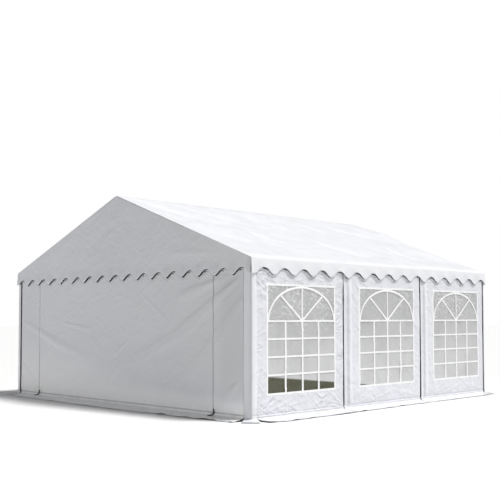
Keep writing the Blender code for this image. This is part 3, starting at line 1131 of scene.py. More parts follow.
    def build(self) -> bpy.types.Mesh:
        """The sheet's mesh, skirt and hanging part in one."""
        across, up = self.columns(), self.rows()
        a_skirt, share = np.meshgrid(across, np.array(SKIRT_ROWS))
        skirt = self.skirt_places(a_skirt, share)
        band = np.linspace(0.0, 1.0, TOP_ROWS + 1)[1:, None]
        a_wall = np.broadcast_to(across, (len(up) + len(band), len(across)))
        above = TOP_BAND + (self.top(across) - TOP_BAND) * band
        u_wall = np.concatenate([np.broadcast_to(up[:, None], (len(up), len(across))), above])
        wall = self.path.place(self.side, a_wall, self.out(a_wall, u_wall), u_wall)
        places = np.concatenate([skirt, wall])
        whole = np.concatenate([a_skirt, a_wall])
        height = np.concatenate([-share * self.skirt, u_wall - CREASE])
        cloth = np.stack([whole, height], axis=-1)
        keep = np.ones((len(places) - 1, len(across) - 1), dtype=bool)
        cut = self.holes(across, np.append(up, TOP_BAND + 0.01))
        if cut is not None:
            keep[len(share) : len(share) + len(cut)] &= ~cut
        if self.flap:
            split = (across[:-1] >= self.flap.high - TINY) & (across[1:] <= self.flap.high + SLIT + 0.0001)
            keep[: len(share), split] = False
        tone, pull = self.doubled(whole, height), self.pull(whole, height + CREASE)
        return SHOP.grid(self.name, places, cloth, keep, tone, pull)

    def pull(self, across: Field, up: Field) -> Field | None:
        """The folds that fan out from the sheet's corners, as direction, distance and strength, or None."""
        return None

    def doubled(self, across: Field, height: Field) -> Field:
        """The tone of the sheeting: 1 where it is two-ply, 0 where it is single, painted light above 0 and
        painted shade below 0.

        Args:
            across: Distance along the sheet.
            height: Height above the crease, or minus the distance down the skirt.

        Returns:
            The tone.
        """
        side = np.minimum(across - self.left, self.right - across)
        tone = 1.0 - ease(side, 0.012, 0.024)
        if self.strip:
            low, high = self.strip
            tone = np.maximum(tone, 1.0 - ease(across, high - 0.012, high + 0.004))
            if low > -CORNER_POST:
                # Painted shade in the pocket's valley and on the flank beyond it.
                tone = tone - 1.8 * bump(across, low + 0.066, 0.040) * (height > 0.0)
                tone = tone - 0.5 * bump(across, low + 0.120, 0.030) * (height > 0.0)
        # A painted highlight along the ridge just below the crease.
        tone = np.maximum(tone, bump(height, -0.010, 0.014))
        if not self.long_side:
            tone = self.end_tone(0.3 * tone, across, height)
        # Round a corner shade is painted on the sheet, most of all along a narrow band.
        past = np.abs(across) - CORNER_POST
        worn = -0.42 - 0.33 * ease(past, 0.010, 0.022) * (1.0 - ease(past, 0.034, 0.052))
        round_corner = ease(past, 0.006, 0.016)
        return np.where(height > -0.01, tone + (worn - tone) * round_corner, tone * (1.0 - round_corner))

    def end_tone(self, tone: Field, across: Field, height: Field) -> Field:
        """The tone of an end wall's sheeting: painted light towards its foot and its left, painted shade over
        the crease's groove and towards the right, and a painted shadow under the valance.

        Args:
            tone: The tone of its hems.
            across: Distance along the sheet.
            height: Height above the crease, or minus the distance down the skirt.

        Returns:
            The tone.
        """
        # Painted light, strongest at the foot and over the skirt, and reaching higher towards the left.
        reach = 0.36 + 0.45 * (1.0 - ease(across, -2.5, 2.0))
        foot = np.where(height > 0.014, np.exp(-height / reach) * (1.0 - ease(height, 0.3, 1.2)), 0.85)
        lap = ease(height, -0.015, -0.008) * (1.0 - ease(height, 0.014, 0.018))
        hem = ease(-height, 0.228, 0.233)
        # Painted shade along the groove over the crease.
        groove = bump(height, 0.024, 0.008)
        tone = np.max([tone, foot, lap, hem], axis=0) - 1.6 * groove
        # Painted shade that deepens towards the right, above the foot.
        right = 0.7 * ease(across, -2.5, 3.3) + 0.35 * ease(across, 2.3, 2.5)
        tone = tone - right * ease(height, 0.05, 0.40)
        # A painted shadow just under the valance.
        below = self.top(across) - CREASE - height
        return tone - (1.0 - ease(below, 0.010, 0.050))

    def dress(self, node: str) -> None:
        """Builds the sheet as the piece that stands for this CAD node."""
        piece = SHOP.piece(self.name, self.build(), self.finish, SHEETING_SLOT, [node])
        SHOP.thicken(piece, SHEET)
        width, height = self.right - self.left, WALL_HEIGHT + self.skirt
        self.area(width, height)

    def area(self, width: float, height: float) -> float | None:
        """The flat area of a cut that isn't a rectangle, or None."""
        return None


@dataclass(frozen=True)
class BarLayout:
    """The sizes of a window's opening, bars, arch and border. The border lies around the opening.

    Attributes:
        left: From the start of the bay to the opening.
        sill: Height of the opening above the ground.
        spring: Height of the arch's foot above the sill.
        bar: Width of a level bar. The next two are those of an upright one, and of the arch and its spokes.
        columns: How many panes lie side by side below the arch, in so many rows.
        depth: How thick the bars and the border are.
        spokes: The directions of the arch's spokes above the level, in degrees.
    """

    LENGTHS = ("Width", "Height", "Spring", "Bar", "Upright", "Ray", "Border", "Depth")
    COUNTS = ("Columns", "Rows")

    left: float = 0.337
    sill: float = 0.352
    width: float = 1.391
    height: float = 1.455
    spring: float = 0.973
    bar: float = 0.027
    upright: float = 0.035
    ray: float = 0.032
    border: float = 0.030
    columns: int = 4
    rows: int = 4
    depth: float = 0.0016
    spokes: tuple[float, ...] = (38.5, 90.0, 141.5)

    def tree(self) -> bpy.types.NodeTree:
        """The geometry tree that makes the bars, with X across, Y up and Z out."""
        made = bpy.data.node_groups.get("window_bars")
        if made:
            return made
        kinds = {name: "Float" for name in self.LENGTHS} | {name: "Int" for name in self.COUNTS}
        graph, given = geometry_tree("window_bars", kinds | {"Tape": "Material"})
        size = given.outputs
        half = graph.times(size["Width"], 0.5)
        rise = graph.minus(size["Height"], size["Spring"])
        pane_width = graph.over(size["Width"], size["Columns"])
        pane_height = graph.over(size["Spring"], size["Rows"])
        aside = graph.plus(half, graph.times(size["Border"], 0.5))
        wide = graph.plus(size["Width"], graph.times(size["Border"], 2.0))
        below = graph.times(size["Border"], -0.5)
        # Each row of bars: how many, the first one's middle, from one to the next, their size and cuts.
        # Bars that cross others lie a little further out.
        bars = (
            (
                graph.minus(size["Columns"], 1),
                graph.vector(graph.minus(pane_width, half), graph.times(size["Spring"], 0.5), 0.0),
                graph.vector(pane_width, 0.0, 0.0),
                graph.vector(size["Upright"], size["Spring"], size["Depth"]),
                (2, 49, 2),
            ),
            (
                size["Rows"],
                graph.vector(0.0, pane_height, 0.0002),
                graph.vector(0.0, pane_height, 0.0),
                graph.vector(size["Width"], size["Bar"], size["Depth"]),
                (69, 2, 2),
            ),
            (
                2,
                graph.vector(graph.times(aside, -1.0), graph.times(size["Height"], 0.5), 0.0006),
                graph.vector(graph.times(aside, 2.0), 0.0, 0.0),
                graph.vector(size["Border"], size["Height"], size["Depth"]),
                (2, 73, 2),
            ),
            (
                2,
                graph.vector(0.0, below, 0.0006),
                graph.vector(0.0, graph.plus(size["Height"], size["Border"]), 0.0),
                graph.vector(wide, size["Border"], size["Depth"]),
                (73, 2, 2),
            ),
        )
        parts = [self.row_of_bars(graph, *row) for row in bars]
        lines = [self.arch(graph, half, rise, size)]
        for turn in self.spokes:
            lines.append(self.spoke(graph, turn, half, rise, size["Spring"]))
        upright = graph.add("GeometryNodeSetCurveNormal", {"Curve": joined(graph, lines)}, mode="Z_UP")
        keys = {"Width": size["Ray"], "Height": size["Depth"]}
        section = graph.add("GeometryNodeCurvePrimitiveQuadrilateral", keys)
        parts.append(swept(graph, upright.outputs[0], section.outputs[0]))
        return close_tree(graph, parts, size["Tape"])

    def arch(self, graph: NodeGraph, half: object, rise: object, size: bpy.types.NodeOutputs) -> Socket:
        """The middle line of the arch over the panes, from half its width, its rise and the tree's inputs."""
        keys = {"Resolution": 65, "Radius": 1.0, "Start Angle": 0.0, "Sweep Angle": math.pi}
        arc = graph.add("GeometryNodeCurveArc", keys).outputs["Curve"]
        place = graph.axes(graph.add("GeometryNodeInputPosition").outputs[0])
        inset = graph.times(size["Ray"], 0.5)
        oval = graph.vector(
            graph.times(place[0], graph.minus(half, 0.004)),
            graph.plus(graph.times(place[1], graph.minus(rise, inset)), size["Spring"]),
            0.0004,
        )
        return graph.add("GeometryNodeSetPosition", {"Geometry": arc, "Position": oval}).outputs[0]

    def spoke(self, graph: NodeGraph, turn: float, half: object, rise: object, spring: object) -> Socket:
        """A bar from the middle of the arch's foot out to the arch.

        Args:
            graph: The tree's graph.
            turn: Its direction above the horizontal, in degrees.
            half: Half the opening's width.
            rise: The arch's height.
            spring: Height of the arch's foot above the sill.

        Returns:
            The bar's middle line.
        """
        across, up = math.cos(math.radians(turn)), math.sin(math.radians(turn))
        flat = graph.maths("POWER", graph.over(across, half), 2.0)
        steep = graph.maths("POWER", graph.over(up, rise), 2.0)
        reach = graph.maths("INVERSE_SQRT", graph.plus(flat, steep))
        end = graph.vector(graph.times(reach, across), graph.plus(graph.times(reach, up), spring), 0.0)
        keys = {"Start": graph.vector(0.0, spring, 0.0), "End": end}
        line = graph.add("GeometryNodeCurvePrimitiveLine", keys)
        return graph.add("GeometryNodeResampleCurve", {"Curve": line.outputs[0], "Count": 24}).outputs[0]

    def row_of_bars(
        self, graph: NodeGraph, count: object, start: object, step: object, bar: object, cuts: Sequence[int]
    ) -> Socket:
        """Equal bars side by side.

        Args:
            graph: The tree's graph.
            count: How many bars.
            start: The middle of the first.
            step: From one bar to the next.
            bar: The size of a bar.
            cuts: Its vertices along each axis, so that it can follow the folds.

        Returns:
            The bars' geometry.
        """
        keys = {"Size": bar, "Vertices X": cuts[0], "Vertices Y": cuts[1], "Vertices Z": cuts[2]}
        return repeated(graph, count, start, step, graph.add("GeometryNodeMeshCube", keys).outputs[0])

    def mesh(self) -> bpy.types.Mesh:
        """The bars as a mesh: across from the window's middle in X, up from its sill in Y, out in Z."""
        sizes = {name: getattr(self, name.lower()) for name in self.LENGTHS + self.COUNTS}
        return SHOP.grown(self.tree(), sizes | {"Tape": Tape().material()})


@dataclass
class WindowWall(WallSheet):
    """A wall sheet with a window: foil behind its opening, and bars and a border welded on.

    Attributes:
        start: Where its bay starts across the side.
        bars: The sizes of its window.
    """

    start: float = 0.0
    bars: BarLayout = field(default_factory=BarLayout)

    def pull(self, across: Field, up: Field) -> Field:
        """Folds that fan out from all four corners of the sheet."""
        first = self.strip[1]
        corners = ((first, 0.10, 1.0), (self.right, 0.10, -1.0), (self.right, 1.93, -1.0), (first, 1.95, 1.0))
        strengths = np.array((0.6, 0.3, 0.4, 0.45))
        runs, turns = [], []
        for number, (x, y, hand) in enumerate(corners):
            runs.append(np.hypot(across - x, up - y))
            # Directions are counted on from corner to corner, so that each has folds of its own.
            turns.append(np.arctan2(up - y, hand * (across - x)) + 9.0 * number)
        near = np.argmin(runs, axis=0)[None]
        run = np.take_along_axis(np.array(runs), near, axis=0)[0]
        turn = np.take_along_axis(np.array(turns), near, axis=0)[0]
        fade = ease(run, 0.02, 0.08) * (1.0 - ease(run, 0.25, 0.85)) * ease(up, 0.08, 0.12)
        return np.stack([turn, run, fade * strengths[near[0]]], axis=-1)

    def window(self) -> tuple[float, float, float, float]:
        """The opening's left, right, sill and head."""
        left = self.start + self.bars.left
        return left, left + self.bars.width, self.bars.sill, self.bars.sill + self.bars.height

    def columns(self) -> Field:
        """Grid lines with one on each edge of the opening."""
        left, right, _, _ = self.window()
        marks = (left, right, -CORNER_POST, -CORNER_POST - POST_BEND)
        lines = stations(self.left, self.right, self.step, marks)
        return np.unique(np.concatenate([lines, self.seam_lines()]))

    def seam_lines(self) -> Field:
        """Extra grid lines at the sides of the corner flap, or else along the post pocket."""
        if self.flap:
            return np.array([self.flap.low, self.flap.high, self.flap.high + SLIT])
        low, high = self.strip
        return np.arange(max(low, self.left) + 0.006, high + 0.02, 0.0095)

    def levels(self) -> tuple[float, ...]:
        """The heights of the sill and the head, which need a grid line of their own."""
        _, _, sill, head = self.window()
        return sill, head

    def holes(self, across: Field, up: Field) -> Field:
        """The cells inside the opening."""
        left, right, sill, head = self.window()
        a, u = (across[:-1] + across[1:]) / 2, (up[:-1] + up[1:]) / 2
        return ((u > sill) & (u < head))[:, None] & ((a > left) & (a < right))[None, :]

    def area(self, width: float, height: float) -> float:
        """The sheet's flat area without its window."""
        return width * height - self.bars.width * self.bars.height

    def crinkle(self, across: Field, up: Field) -> Field:
        """How far the foil's own creases stand inwards. They end at the opening's edges."""
        left, right, sill, head = self.window()
        noise = Relief(self.crumple.seed + 90)
        own = 0.006 * noise.creases(across, up, 0.16, 48.0, 3.0)
        own = own + 0.005 * noise.creases(across + 2.0, up, 0.2, -40.0, 2.5)
        own = own + 0.003 * noise.creases(across, up + 4.0, 0.09, 30.0, 2.0)
        inside = ease(across, left, left + 0.05) * (1 - ease(across, right - 0.05, right))
        inside = inside * ease(up, sill, sill + 0.05) * (1 - ease(up, head - 0.05, head))
        return own * inside

    def dress_window(self, node: str) -> None:
        """Adds the foil, which stands for this CAD node, and the bars with their border."""
        left, right, sill, head = self.window()
        lap = 0.018
        step = 1.6 * self.step
        columns = stations(left - lap, right + lap, step)
        across, up = np.meshgrid(columns, stations(sill - lap, head + lap, step))
        out = self.out(across, up) - SHEET - LAYER_GAP - self.crinkle(across, up)
        places = self.path.place(self.side, across, out, up)
        foil_mesh = SHOP.grid(node, places, np.stack([across, up], axis=-1))
        foil = SHOP.piece("foil_" + node, foil_mesh, Foil(), FOIL_SLOT, [node])
        SHOP.thicken(foil, FOIL_SHEET)
        mesh = self.bars.mesh()
        middle = (left + right) / 2

        def follow(points: Field) -> Field:
            """Lays the flat bars onto the sheet's face."""
            along, high = points[:, 0] + middle, points[:, 1] + sill
            face = self.out(along, high) + points[:, 2] + LAYER_GAP
            return self.path.place(self.side, along, face, high)

        SHOP.shift(mesh, follow)
        SHOP.piece("bars_" + node, mesh, Tape(), SHEETING_SLOT)


@dataclass
class RoofCanopy:
    """The roof and both eave valances, cut from one sheet that bends over the ridge and the eaves.

    Its valleys are given by their distance from the ridge and along it, and both slopes have them.
    """

    scallops: Scallops = LONG_SCALLOPS
    per_scallop: int = 14
    bend: float = 0.014
    crumple: Crumple = field(default_factory=lambda: Crumple(11, billow=0.009, crease=0.0018))
    valleys: tuple[Fold, ...] = (
        Fold((0.15, -2.80), (1.45, -1.60), 0.15, -0.040),
        Fold((0.10, -2.10), (1.40, -0.75), 0.11, -0.022),
        Fold((0.30, -0.60), (1.45, -0.25), 0.13, -0.036),
        Fold((0.45, 0.55), (1.42, 1.05), 0.10, -0.018),
        Fold((0.55, 1.45), (1.42, 2.55), 0.13, -0.036),
        Fold((1.60, -1.75), (2.60, -0.85), 0.12, -0.022),
        Fold((1.58, -2.75), (2.45, -2.05), 0.13, -0.018),
        Fold((1.85, -0.45), (2.75, 0.35), 0.12, -0.024),
        Fold((1.80, 1.55), (2.80, 1.85), 0.11, -0.022),
        Fold((1.65, 2.25), (2.60, 2.75), 0.10, -0.014),
    )

    def relief(self, across: Field, along: Field) -> Field:
        """How far the roof sheet stands off its flat slope, along the slope's normal.

        Args:
            across: Distance from the ridge's plane.
            along: Distance along the ridge from its middle.
        """
        side = np.abs(across)
        hang = np.where(side < 1.5, np.sin(math.pi * side / 1.5), np.sin(math.pi * (side - 1.5) / 1.5))
        edges = ease(3.0 - np.abs(along), 0.0, 0.30)
        sag = -0.010 * np.clip(hang, 0.0, None) * edges
        turned = np.where(across >= 0, along, -along)
        folds = sum(fold.relief(side, turned) for fold in self.valleys)
        loose = self.crumple.relief(side + np.where(across < 0, 11.0, 0.0), turned)
        swell = np.where(across > 0, 0.042, 0.0) * bump(side, 0.80, 0.42) * ease(turned, 1.7, 3.0)
        return sag + (folds + loose) * edges * np.clip(hang, 0.0, 1.0) ** 0.5 + swell

    def half_rows(self, hand: float) -> tuple[Field, Field]:
        """One half of the canopy, from its scalloped edge up to the ridge.

        Args:
            hand: 1 for the right half and -1 for the left half.

        Returns:
            The points by row and column, and their distance up the flat cloth from the eave.
        """
        along = np.linspace(-HALF, HALF, self.scallops.count * self.per_scallop + 1)
        rows, cloth = [], []
        for share in VALANCE_ROWS:
            drop = np.maximum(self.scallops.depth(hand * along) * share, self.bend + 0.004)
            out = HALF + self.scallops.flare(hand * along, drop)
            rows.append(np.stack([hand * out, along, EAVE - drop], axis=-1))
            cloth.append(-drop)
        whole_turn = math.pi / 2 - SLOPE
        turn_in = self.bend * math.tan(whole_turn / 2)
        for share in np.linspace(0.0, 1.0, 5):
            turn = share * whole_turn
            x = np.full_like(along, hand * (HALF - self.bend + self.bend * math.cos(turn)))
            z = np.full_like(along, EAVE - turn_in + self.bend * math.sin(turn))
            rows.append(np.stack([x, along, z], axis=-1))
            cloth.append(np.full_like(along, self.bend * turn - self.bend))
        for x in np.linspace(HALF - 0.02, 0.0, 50)[:-1]:
            rows.append(self.on_slope(np.full_like(along, hand * x), along))
            cloth.append(np.full_like(along, (HALF - x) / math.cos(SLOPE)))
        return np.array(rows), np.array(cloth)

    def build(self) -> bpy.types.Mesh:
        """The canopy's mesh, from one scalloped edge over the ridge to the other."""
        right, up = self.half_rows(1.0)
        left, _ = self.half_rows(-1.0)
        along = right[0, :, 1]
        ridge = self.on_slope(np.zeros_like(along), along)
        ridge[:, 2] -= 0.003
        places = np.concatenate([right, ridge[None], left[::-1]])
        over = np.full((1, len(along)), SLOPE_LENGTH)
        ups = np.concatenate([up, over, 2 * SLOPE_LENGTH - up[::-1]])
        flat = np.stack([np.broadcast_to(along, ups.shape), ups], axis=-1)
        return SHOP.grid("roof_canopy", places, flat, None, self.doubled(along, ups))

    def doubled(self, along: Field, ups: Field) -> Field:
        """The tone of the sheeting: 1 where it is two-ply and 0 where it is single; on the valance painted
        shade and a painted sheen, and along the eave a painted highlight with painted shade above it.

        Args:
            along: Distance along the ridge from its middle, by column.
            ups: Distance over the flat cloth from the right eave, by row and column.

        Returns:
            The tone by row and column.
        """
        rake = 1.0 - ease(HALF - np.abs(along), 0.03, 0.045)
        row = np.arange(len(ups))[:, None]
        hand = np.where(row < len(ups) / 2, 1.0, -1.0)
        from_eave = np.where(hand > 0, ups, 2 * SLOPE_LENGTH - ups)
        # Painted shade near the valance's hem that turns to painted light towards the eave.
        valance_painted_light = np.where(from_eave < 0, -0.25 + 0.85 * ease(from_eave, -0.19, -0.01), 0.0)
        # A painted sheen across each lobe of the valance.
        sheen = -0.30 * np.sin(self.scallops.phase(hand * along) + 0.4) * ease(-from_eave, 0.02, 0.12)
        # A painted highlight along the bend at the eave, and painted shade a little further up the slope.
        eave = (from_eave > -0.02) * (1.0 - ease(from_eave, 0.09, 0.20)) - 0.35 * bump(from_eave, 0.29, 0.10)
        tone = np.where(from_eave < -0.02, valance_painted_light + sheen, eave)
        tone[[0, -1]] = 1.0
        return np.maximum(rake, tone)

    def on_slope(self, across: Field, along: Field) -> Field:
        """Points of the slope, lifted by the relief along its normal."""
        lift = self.relief(across, along)
        x = across + np.sign(across) * lift * math.sin(SLOPE)
        z = EAVE + (HALF - np.abs(across)) * RISE + lift * math.cos(SLOPE)
        return np.stack([x, along, z], axis=-1)

    def edge(self, across: Field, along: float) -> Field:
        """Height of the canopy's outer face over a gable."""
        return self.on_slope(across, np.full_like(across, along))[..., 2]

    def hem_line(self, hand: float) -> Field:
        """Points along the scalloped edge, for its piping."""
        rows, _ = self.half_rows(hand)
        line = rows[0].copy()
        line[:, 0] -= hand * SHEET / 2
        return line

    def dress(self) -> None:
        """Builds the canopy and its hem piping."""
        nodes = ["roof_slope_right", "roof_slope_left", "valance_right", "valance_left"]
        piece = SHOP.piece("roof_canopy", self.build(), ROOF_SHEETING, SHEETING_SLOT, nodes)
        SHOP.thicken(piece, SHEET)
        lines = [self.hem_line(1.0), self.hem_line(-1.0)]
        SHOP.piece("canopy_hem", Piping().mesh(lines, ROOF_SHEETING), ROOF_SHEETING, SHEETING_SLOT)


@dataclass
class GableSheet:
    """A gable: the triangle under the roof and the scalloped valance below it, in one sheet."""

    side: Side
    canopy: RoofCanopy
    crumple: Crumple
    folds: tuple[Fold, ...]
    scallops: Scallops = GABLE_SCALLOPS
    per_scallop: int = 12

    def out(self, across: Field, up: Field) -> Field:
        """Distance of the gable's outer face from the tent's middle plane."""
        relief = self.crumple.relief(across, up)
        for fold in self.folds:
            relief = relief + fold.relief(across, up)
        top = EAVE + (HALF - np.abs(across)) * RISE
        held = ease(top - up, 0.0, 0.16) * ease(up, EAVE - 0.05, EAVE + 0.12)
        drop = np.clip(EAVE - up, 0.0, None)
        return HALF + relief * held + self.scallops.flare(across, drop)

    def columns(self) -> Field:
        """The sheet's grid lines across."""
        half = self.scallops.half
        return np.linspace(-half, half, self.scallops.count * self.per_scallop + 1)

    def build(self) -> bpy.types.Mesh:
        """The gable's mesh."""
        across = self.columns()
        hang = self.scallops.depth(across)
        hand = {Side.FRONT: 1.0, Side.BACK: -1.0}[self.side]
        top = self.canopy.edge(hand * across, -hand * HALF) - SHEET - 2 * LAYER_GAP
        rows = [EAVE - hang * share for share in VALANCE_ROWS]
        low = np.minimum(EAVE - 0.006, top - 0.004)
        rows += [low + (top - low) * share for share in np.linspace(0.0, 1.0, 56)]
        up = np.array(rows)
        a = np.broadcast_to(across, up.shape)
        places = self.side.place(a, self.out(a, up), up)
        # Its hem is two-ply, and shade is painted on its sheeting, more and more towards the right and most at
        # its right corner.
        tone = 0.25 * (1.0 - ease(np.arange(len(up)), 1.0, 2.0))[:, None] - 0.40 * ease(a, -1.8, 0.2)
        tone = tone - 0.2 * ease(a, 0.0, 3.0) - 0.5 * ease(a, 2.90, 2.95)
        name = "gable_sheet_" + self.side.name.lower()
        return SHOP.grid(name, places, np.stack([a, up], axis=-1), None, tone)

    def hem_line(self) -> Field:
        """Points along the scalloped edge, for its piping."""
        across = self.columns()
        up = EAVE - self.scallops.depth(across)
        return self.side.place(across, self.out(across, up) - SHEET / 2, up)

    def dress(self) -> None:
        """Builds the gable and its hem piping."""
        label = self.side.name.lower()
        nodes = ["gable_" + label]
        piece = SHOP.piece("gable_sheet_" + label, self.build(), CALM_SHADED_SHEETING, SHEETING_SLOT, nodes)
        SHOP.thicken(piece, SHEET)
        mesh = Piping().mesh([self.hem_line()], CALM_SHADED_SHEETING)
        SHOP.piece("gable_hem_" + label, mesh, CALM_SHADED_SHEETING, SHEETING_SLOT)


@dataclass
class CornerSleeve(WallSheet):
    """The sheet that wraps a corner post, between a gable's wall and a long wall."""

    def out(self, across: Field, up: Field) -> Field:
        """A nearly plain sheet, rounded a little outwards over the post."""
        face = WALL_FACE + 0.004 + 0.4 * self.crumple.relief(across, up) * ease(up, 0.05, 0.3)
        edge = np.minimum(across - self.left, self.right - across)
        face = face + 0.004 * (1.0 - ease(edge, 0.0, 0.02)) + 0.0065 * bump(up, CREASE + 0.012, 0.011)
        return np.clip(face, WALL_FACE, WALL_FACE + 0.012)


@dataclass
class ZipLine:
    """A zip between a door and its wall strip: tape, chain and puller. It follows the door's folds."""

    wall: WallSheet
    across: float
    low: float = 0.030
    high: float = 1.96
    pitch: float = 0.010

    def tree(self) -> bpy.types.NodeTree:
        """The geometry tree that sets the zip's teeth along its length."""
        made = bpy.data.node_groups.get("zip_teeth")
        if made:
            return made
        kinds = {"Length": "Float", "Pitch": "Float", "Tooth": "Vector", "Plastic": "Material"}
        graph, given = geometry_tree("zip_teeth", kinds)
        size = given.outputs
        count = graph.maths("FLOOR", graph.over(size["Length"], size["Pitch"]))
        step = graph.vector(0.0, size["Pitch"], 0.0)
        tooth = graph.axes(size["Tooth"])
        block = graph.add("GeometryNodeMeshCube", {"Size": size["Tooth"]}).outputs[0]
        parts = []
        for hand in (-1.0, 1.0):
            aside = graph.times(tooth[0], 0.3 * hand)
            start = graph.vector(aside, graph.times(size["Pitch"], 0.25 * hand), 0.0)
            parts.append(repeated(graph, count, start, step, block))
        return close_tree(graph, parts, size["Plastic"])

    def follow(self, points: Field) -> Field:
        """Lays points of the flat zip onto the wall."""
        along, high = points[:, 0] + self.across, points[:, 1] + self.low
        face = self.wall.out(along, np.maximum(high, CREASE))
        return self.wall.path.place(self.wall.side, along, face + points[:, 2], high)

    def dress(self, name: str) -> None:
        """Builds the zip's chain and tape under this name, and its puller."""
        sizes = {
            "Length": self.high - self.low,
            "Pitch": self.pitch,
            "Tooth": (0.0055, 0.0042, 0.0034),
            "Plastic": ZipPlastic().material(),
        }
        mesh = SHOP.grown(self.tree(), sizes)
        shape = bmesh.new()
        shape.from_mesh(mesh)
        self.add_tape(shape, 0.018, 150)
        shape.to_mesh(mesh)
        shape.free()
        SHOP.shift(mesh, self.follow)
        SHOP.piece(name, mesh, ZipPlastic(), SHEETING_SLOT)
        # The puller's rubber from the slider down: across the zip, above the ground, and out.
        bend = np.array(
            [(0.006, 0.120, 0.004), (0.018, 0.100, 0.010), (0.022, 0.078, 0.014), (0.014, 0.056, 0.016),
             (-0.004, 0.042, 0.020), (-0.028, 0.034, 0.034), (-0.055, 0.028, 0.052)]
        )
        line = self.follow(bend - np.array([0.0, self.low, 0.0]))
        grip = Piping(radius=0.009, sides=10).mesh([line], PULLER_RUBBER)
        SHOP.piece(name + "_puller", grip, PULLER_RUBBER, SHEETING_SLOT)

    def add_tape(self, shape: bmesh.types.BMesh, width: float, cuts: int) -> None:
        """Adds the thin tape behind the chain.

        Args:
            shape: The mesh that it joins.
            width: Across the zip.
            cuts: How many lengths it is divided into, so that it can follow the folds.
        """
        length = (self.high - self.low) / cuts
        size = Matrix.Diagonal((width, length, 0.0012, 1.0))
        for number in range(cuts):
            place = Matrix.Translation((0.0, (number + 0.5) * length, -0.0022))
            bmesh.ops.create_cube(shape, size=1.0, matrix=place @ size)


@dataclass
class SteelFrame:
    """The tubes and fittings from the CAD model, with their finish."""

    kinds: tuple[str, ...] = (
        "post_", "roof_frame_", "ridge_rail", "purlin_", "eave_rail_", "tie_rail_", "ground_rail_"
    )

    def dress(self, nodes: dict[str, bpy.types.Object]) -> None:
        """Gives every tube among the CAD nodes its finish."""
        steel = ZincSteel().material()
        for name, thing in nodes.items():
            if name.startswith(self.kinds):
                for socket in thing.material_slots:
                    socket.material = steel
        LOG.info("steel finish on %d nodes", sum(name.startswith(self.kinds) for name in nodes))


@dataclass(frozen=True)
class Studio:
    """Floor, light and camera.

    Attributes:
        eye: Where the camera stands.
        heading: Where it looks, in degrees left of the view along the tent to the back.
        focal_share: Its focal length as a share of its sensor's width.
        ambient: The surround's strength opposite its bright side, and at that side.
        key: Strength of the soft light from above, with its spread in degrees.
        low: Strength of the low light from the front, with its spread.
    """

    eye: tuple[float, float, float] = (10.985, -10.986, 1.364)
    heading: float = 45.1
    tilt: float = 2.65
    roll: float = 0.07
    focal_share: float = 855.7 / 500.0
    shift: tuple[float, float] = (0.0008, 0.0574)
    ambient: tuple[float, float] = (0.0, 0.32)
    bright_side: tuple[float, float, float] = (0.0, 0.30, 0.95)
    key: float = 3.35
    key_angle: float = 11.0
    key_from: tuple[float, float, float] = (0.36, 0.22, 0.91)
    low: float = 0.62
    low_angle: float = 30.0
    low_from: tuple[float, float, float] = (-0.45, -0.88, 0.10)

    def set_camera(self) -> None:
        """Stands the camera where the photograph was taken."""
        sensor = 36.0
        lens = bpy.data.cameras.new("camera")
        lens.sensor_width = sensor
        lens.lens = sensor * self.focal_share
        lens.shift_x, lens.shift_y = self.shift
        lens.clip_end = 500.0
        camera = placed("camera", lens)
        turn = Matrix.Rotation(math.radians(self.heading), 4, "Z")
        raise_up = Matrix.Rotation(math.radians(90.0 + self.tilt), 4, "X")
        lean = Matrix.Rotation(math.radians(-self.roll), 4, "Z")
        camera.matrix_world = Matrix.Translation(self.eye) @ turn @ raise_up @ lean
        bpy.context.scene.camera = camera

    def set_light(self) -> None:
        """Lights the tent from above and the right, with a low light from the left front and a surround."""
        suns = {
            "key": (self.key, self.key_angle, self.key_from),
            "low_fill": (self.low, self.low_angle, self.low_from),
        }
        for name, (energy, spread, source) in suns.items():
            lamp = bpy.data.lights.new(name, "SUN")
            lamp.energy = energy
            lamp.angle = math.radians(spread)
            lamp.color = (1.0, 0.995, 0.985)
            thing = placed(name, lamp)
            thing.rotation_euler = Vector(source).to_track_quat("Z", "Y").to_euler()
        self.set_surround()
        bpy.context.scene.view_settings.view_transform = "Standard"

    def set_surround(self) -> None:
        """Makes the surround: white to the camera, and faint light on the tent, mostly from above."""
        world = bpy.data.worlds.new("surround")
        bpy.context.scene.world = world
        world.use_nodes = True
        graph = NodeGraph(world.node_tree)
        world.node_tree.nodes.clear()
        towards = graph.add("ShaderNodeTexCoord").outputs["Generated"]
        bright = Vector(self.bright_side).normalized()
        keys = {0: towards, 1: tuple(bright)}
        facing = graph.add("ShaderNodeVectorMath", keys, operation="DOT_PRODUCT").outputs["Value"]
        level = graph.between(facing, -0.8, 1.0, *self.ambient)
        seen = graph.add("ShaderNodeLightPath").outputs["Is Camera Ray"]
        lit = graph.add("ShaderNodeBackground", {"Color": (0.975, 0.985, 1.0, 1.0), "Strength": level})
        white = graph.add("ShaderNodeBackground", {"Color": (1.0, 1.0, 1.0, 1.0), "Strength": 1.0})
        both = graph.add("ShaderNodeMixShader", {0: seen, 1: lit.outputs[0], 2: white.outputs[0]})
        graph.add("ShaderNodeOutputWorld", {"Surface": both.outputs[0]})

    def lay_floor(self) -> None:
        """Lays the floor under the tent."""
        shape = bmesh.new()
        bmesh.ops.create_grid(shape, x_segments=8, y_segments=8, size=120.0)
        mesh = bpy.data.meshes.new("floor")
        shape.to_mesh(mesh)
        shape.free()
        mesh.materials.append(PaleFloor().material())
        floor = placed("floor", mesh)


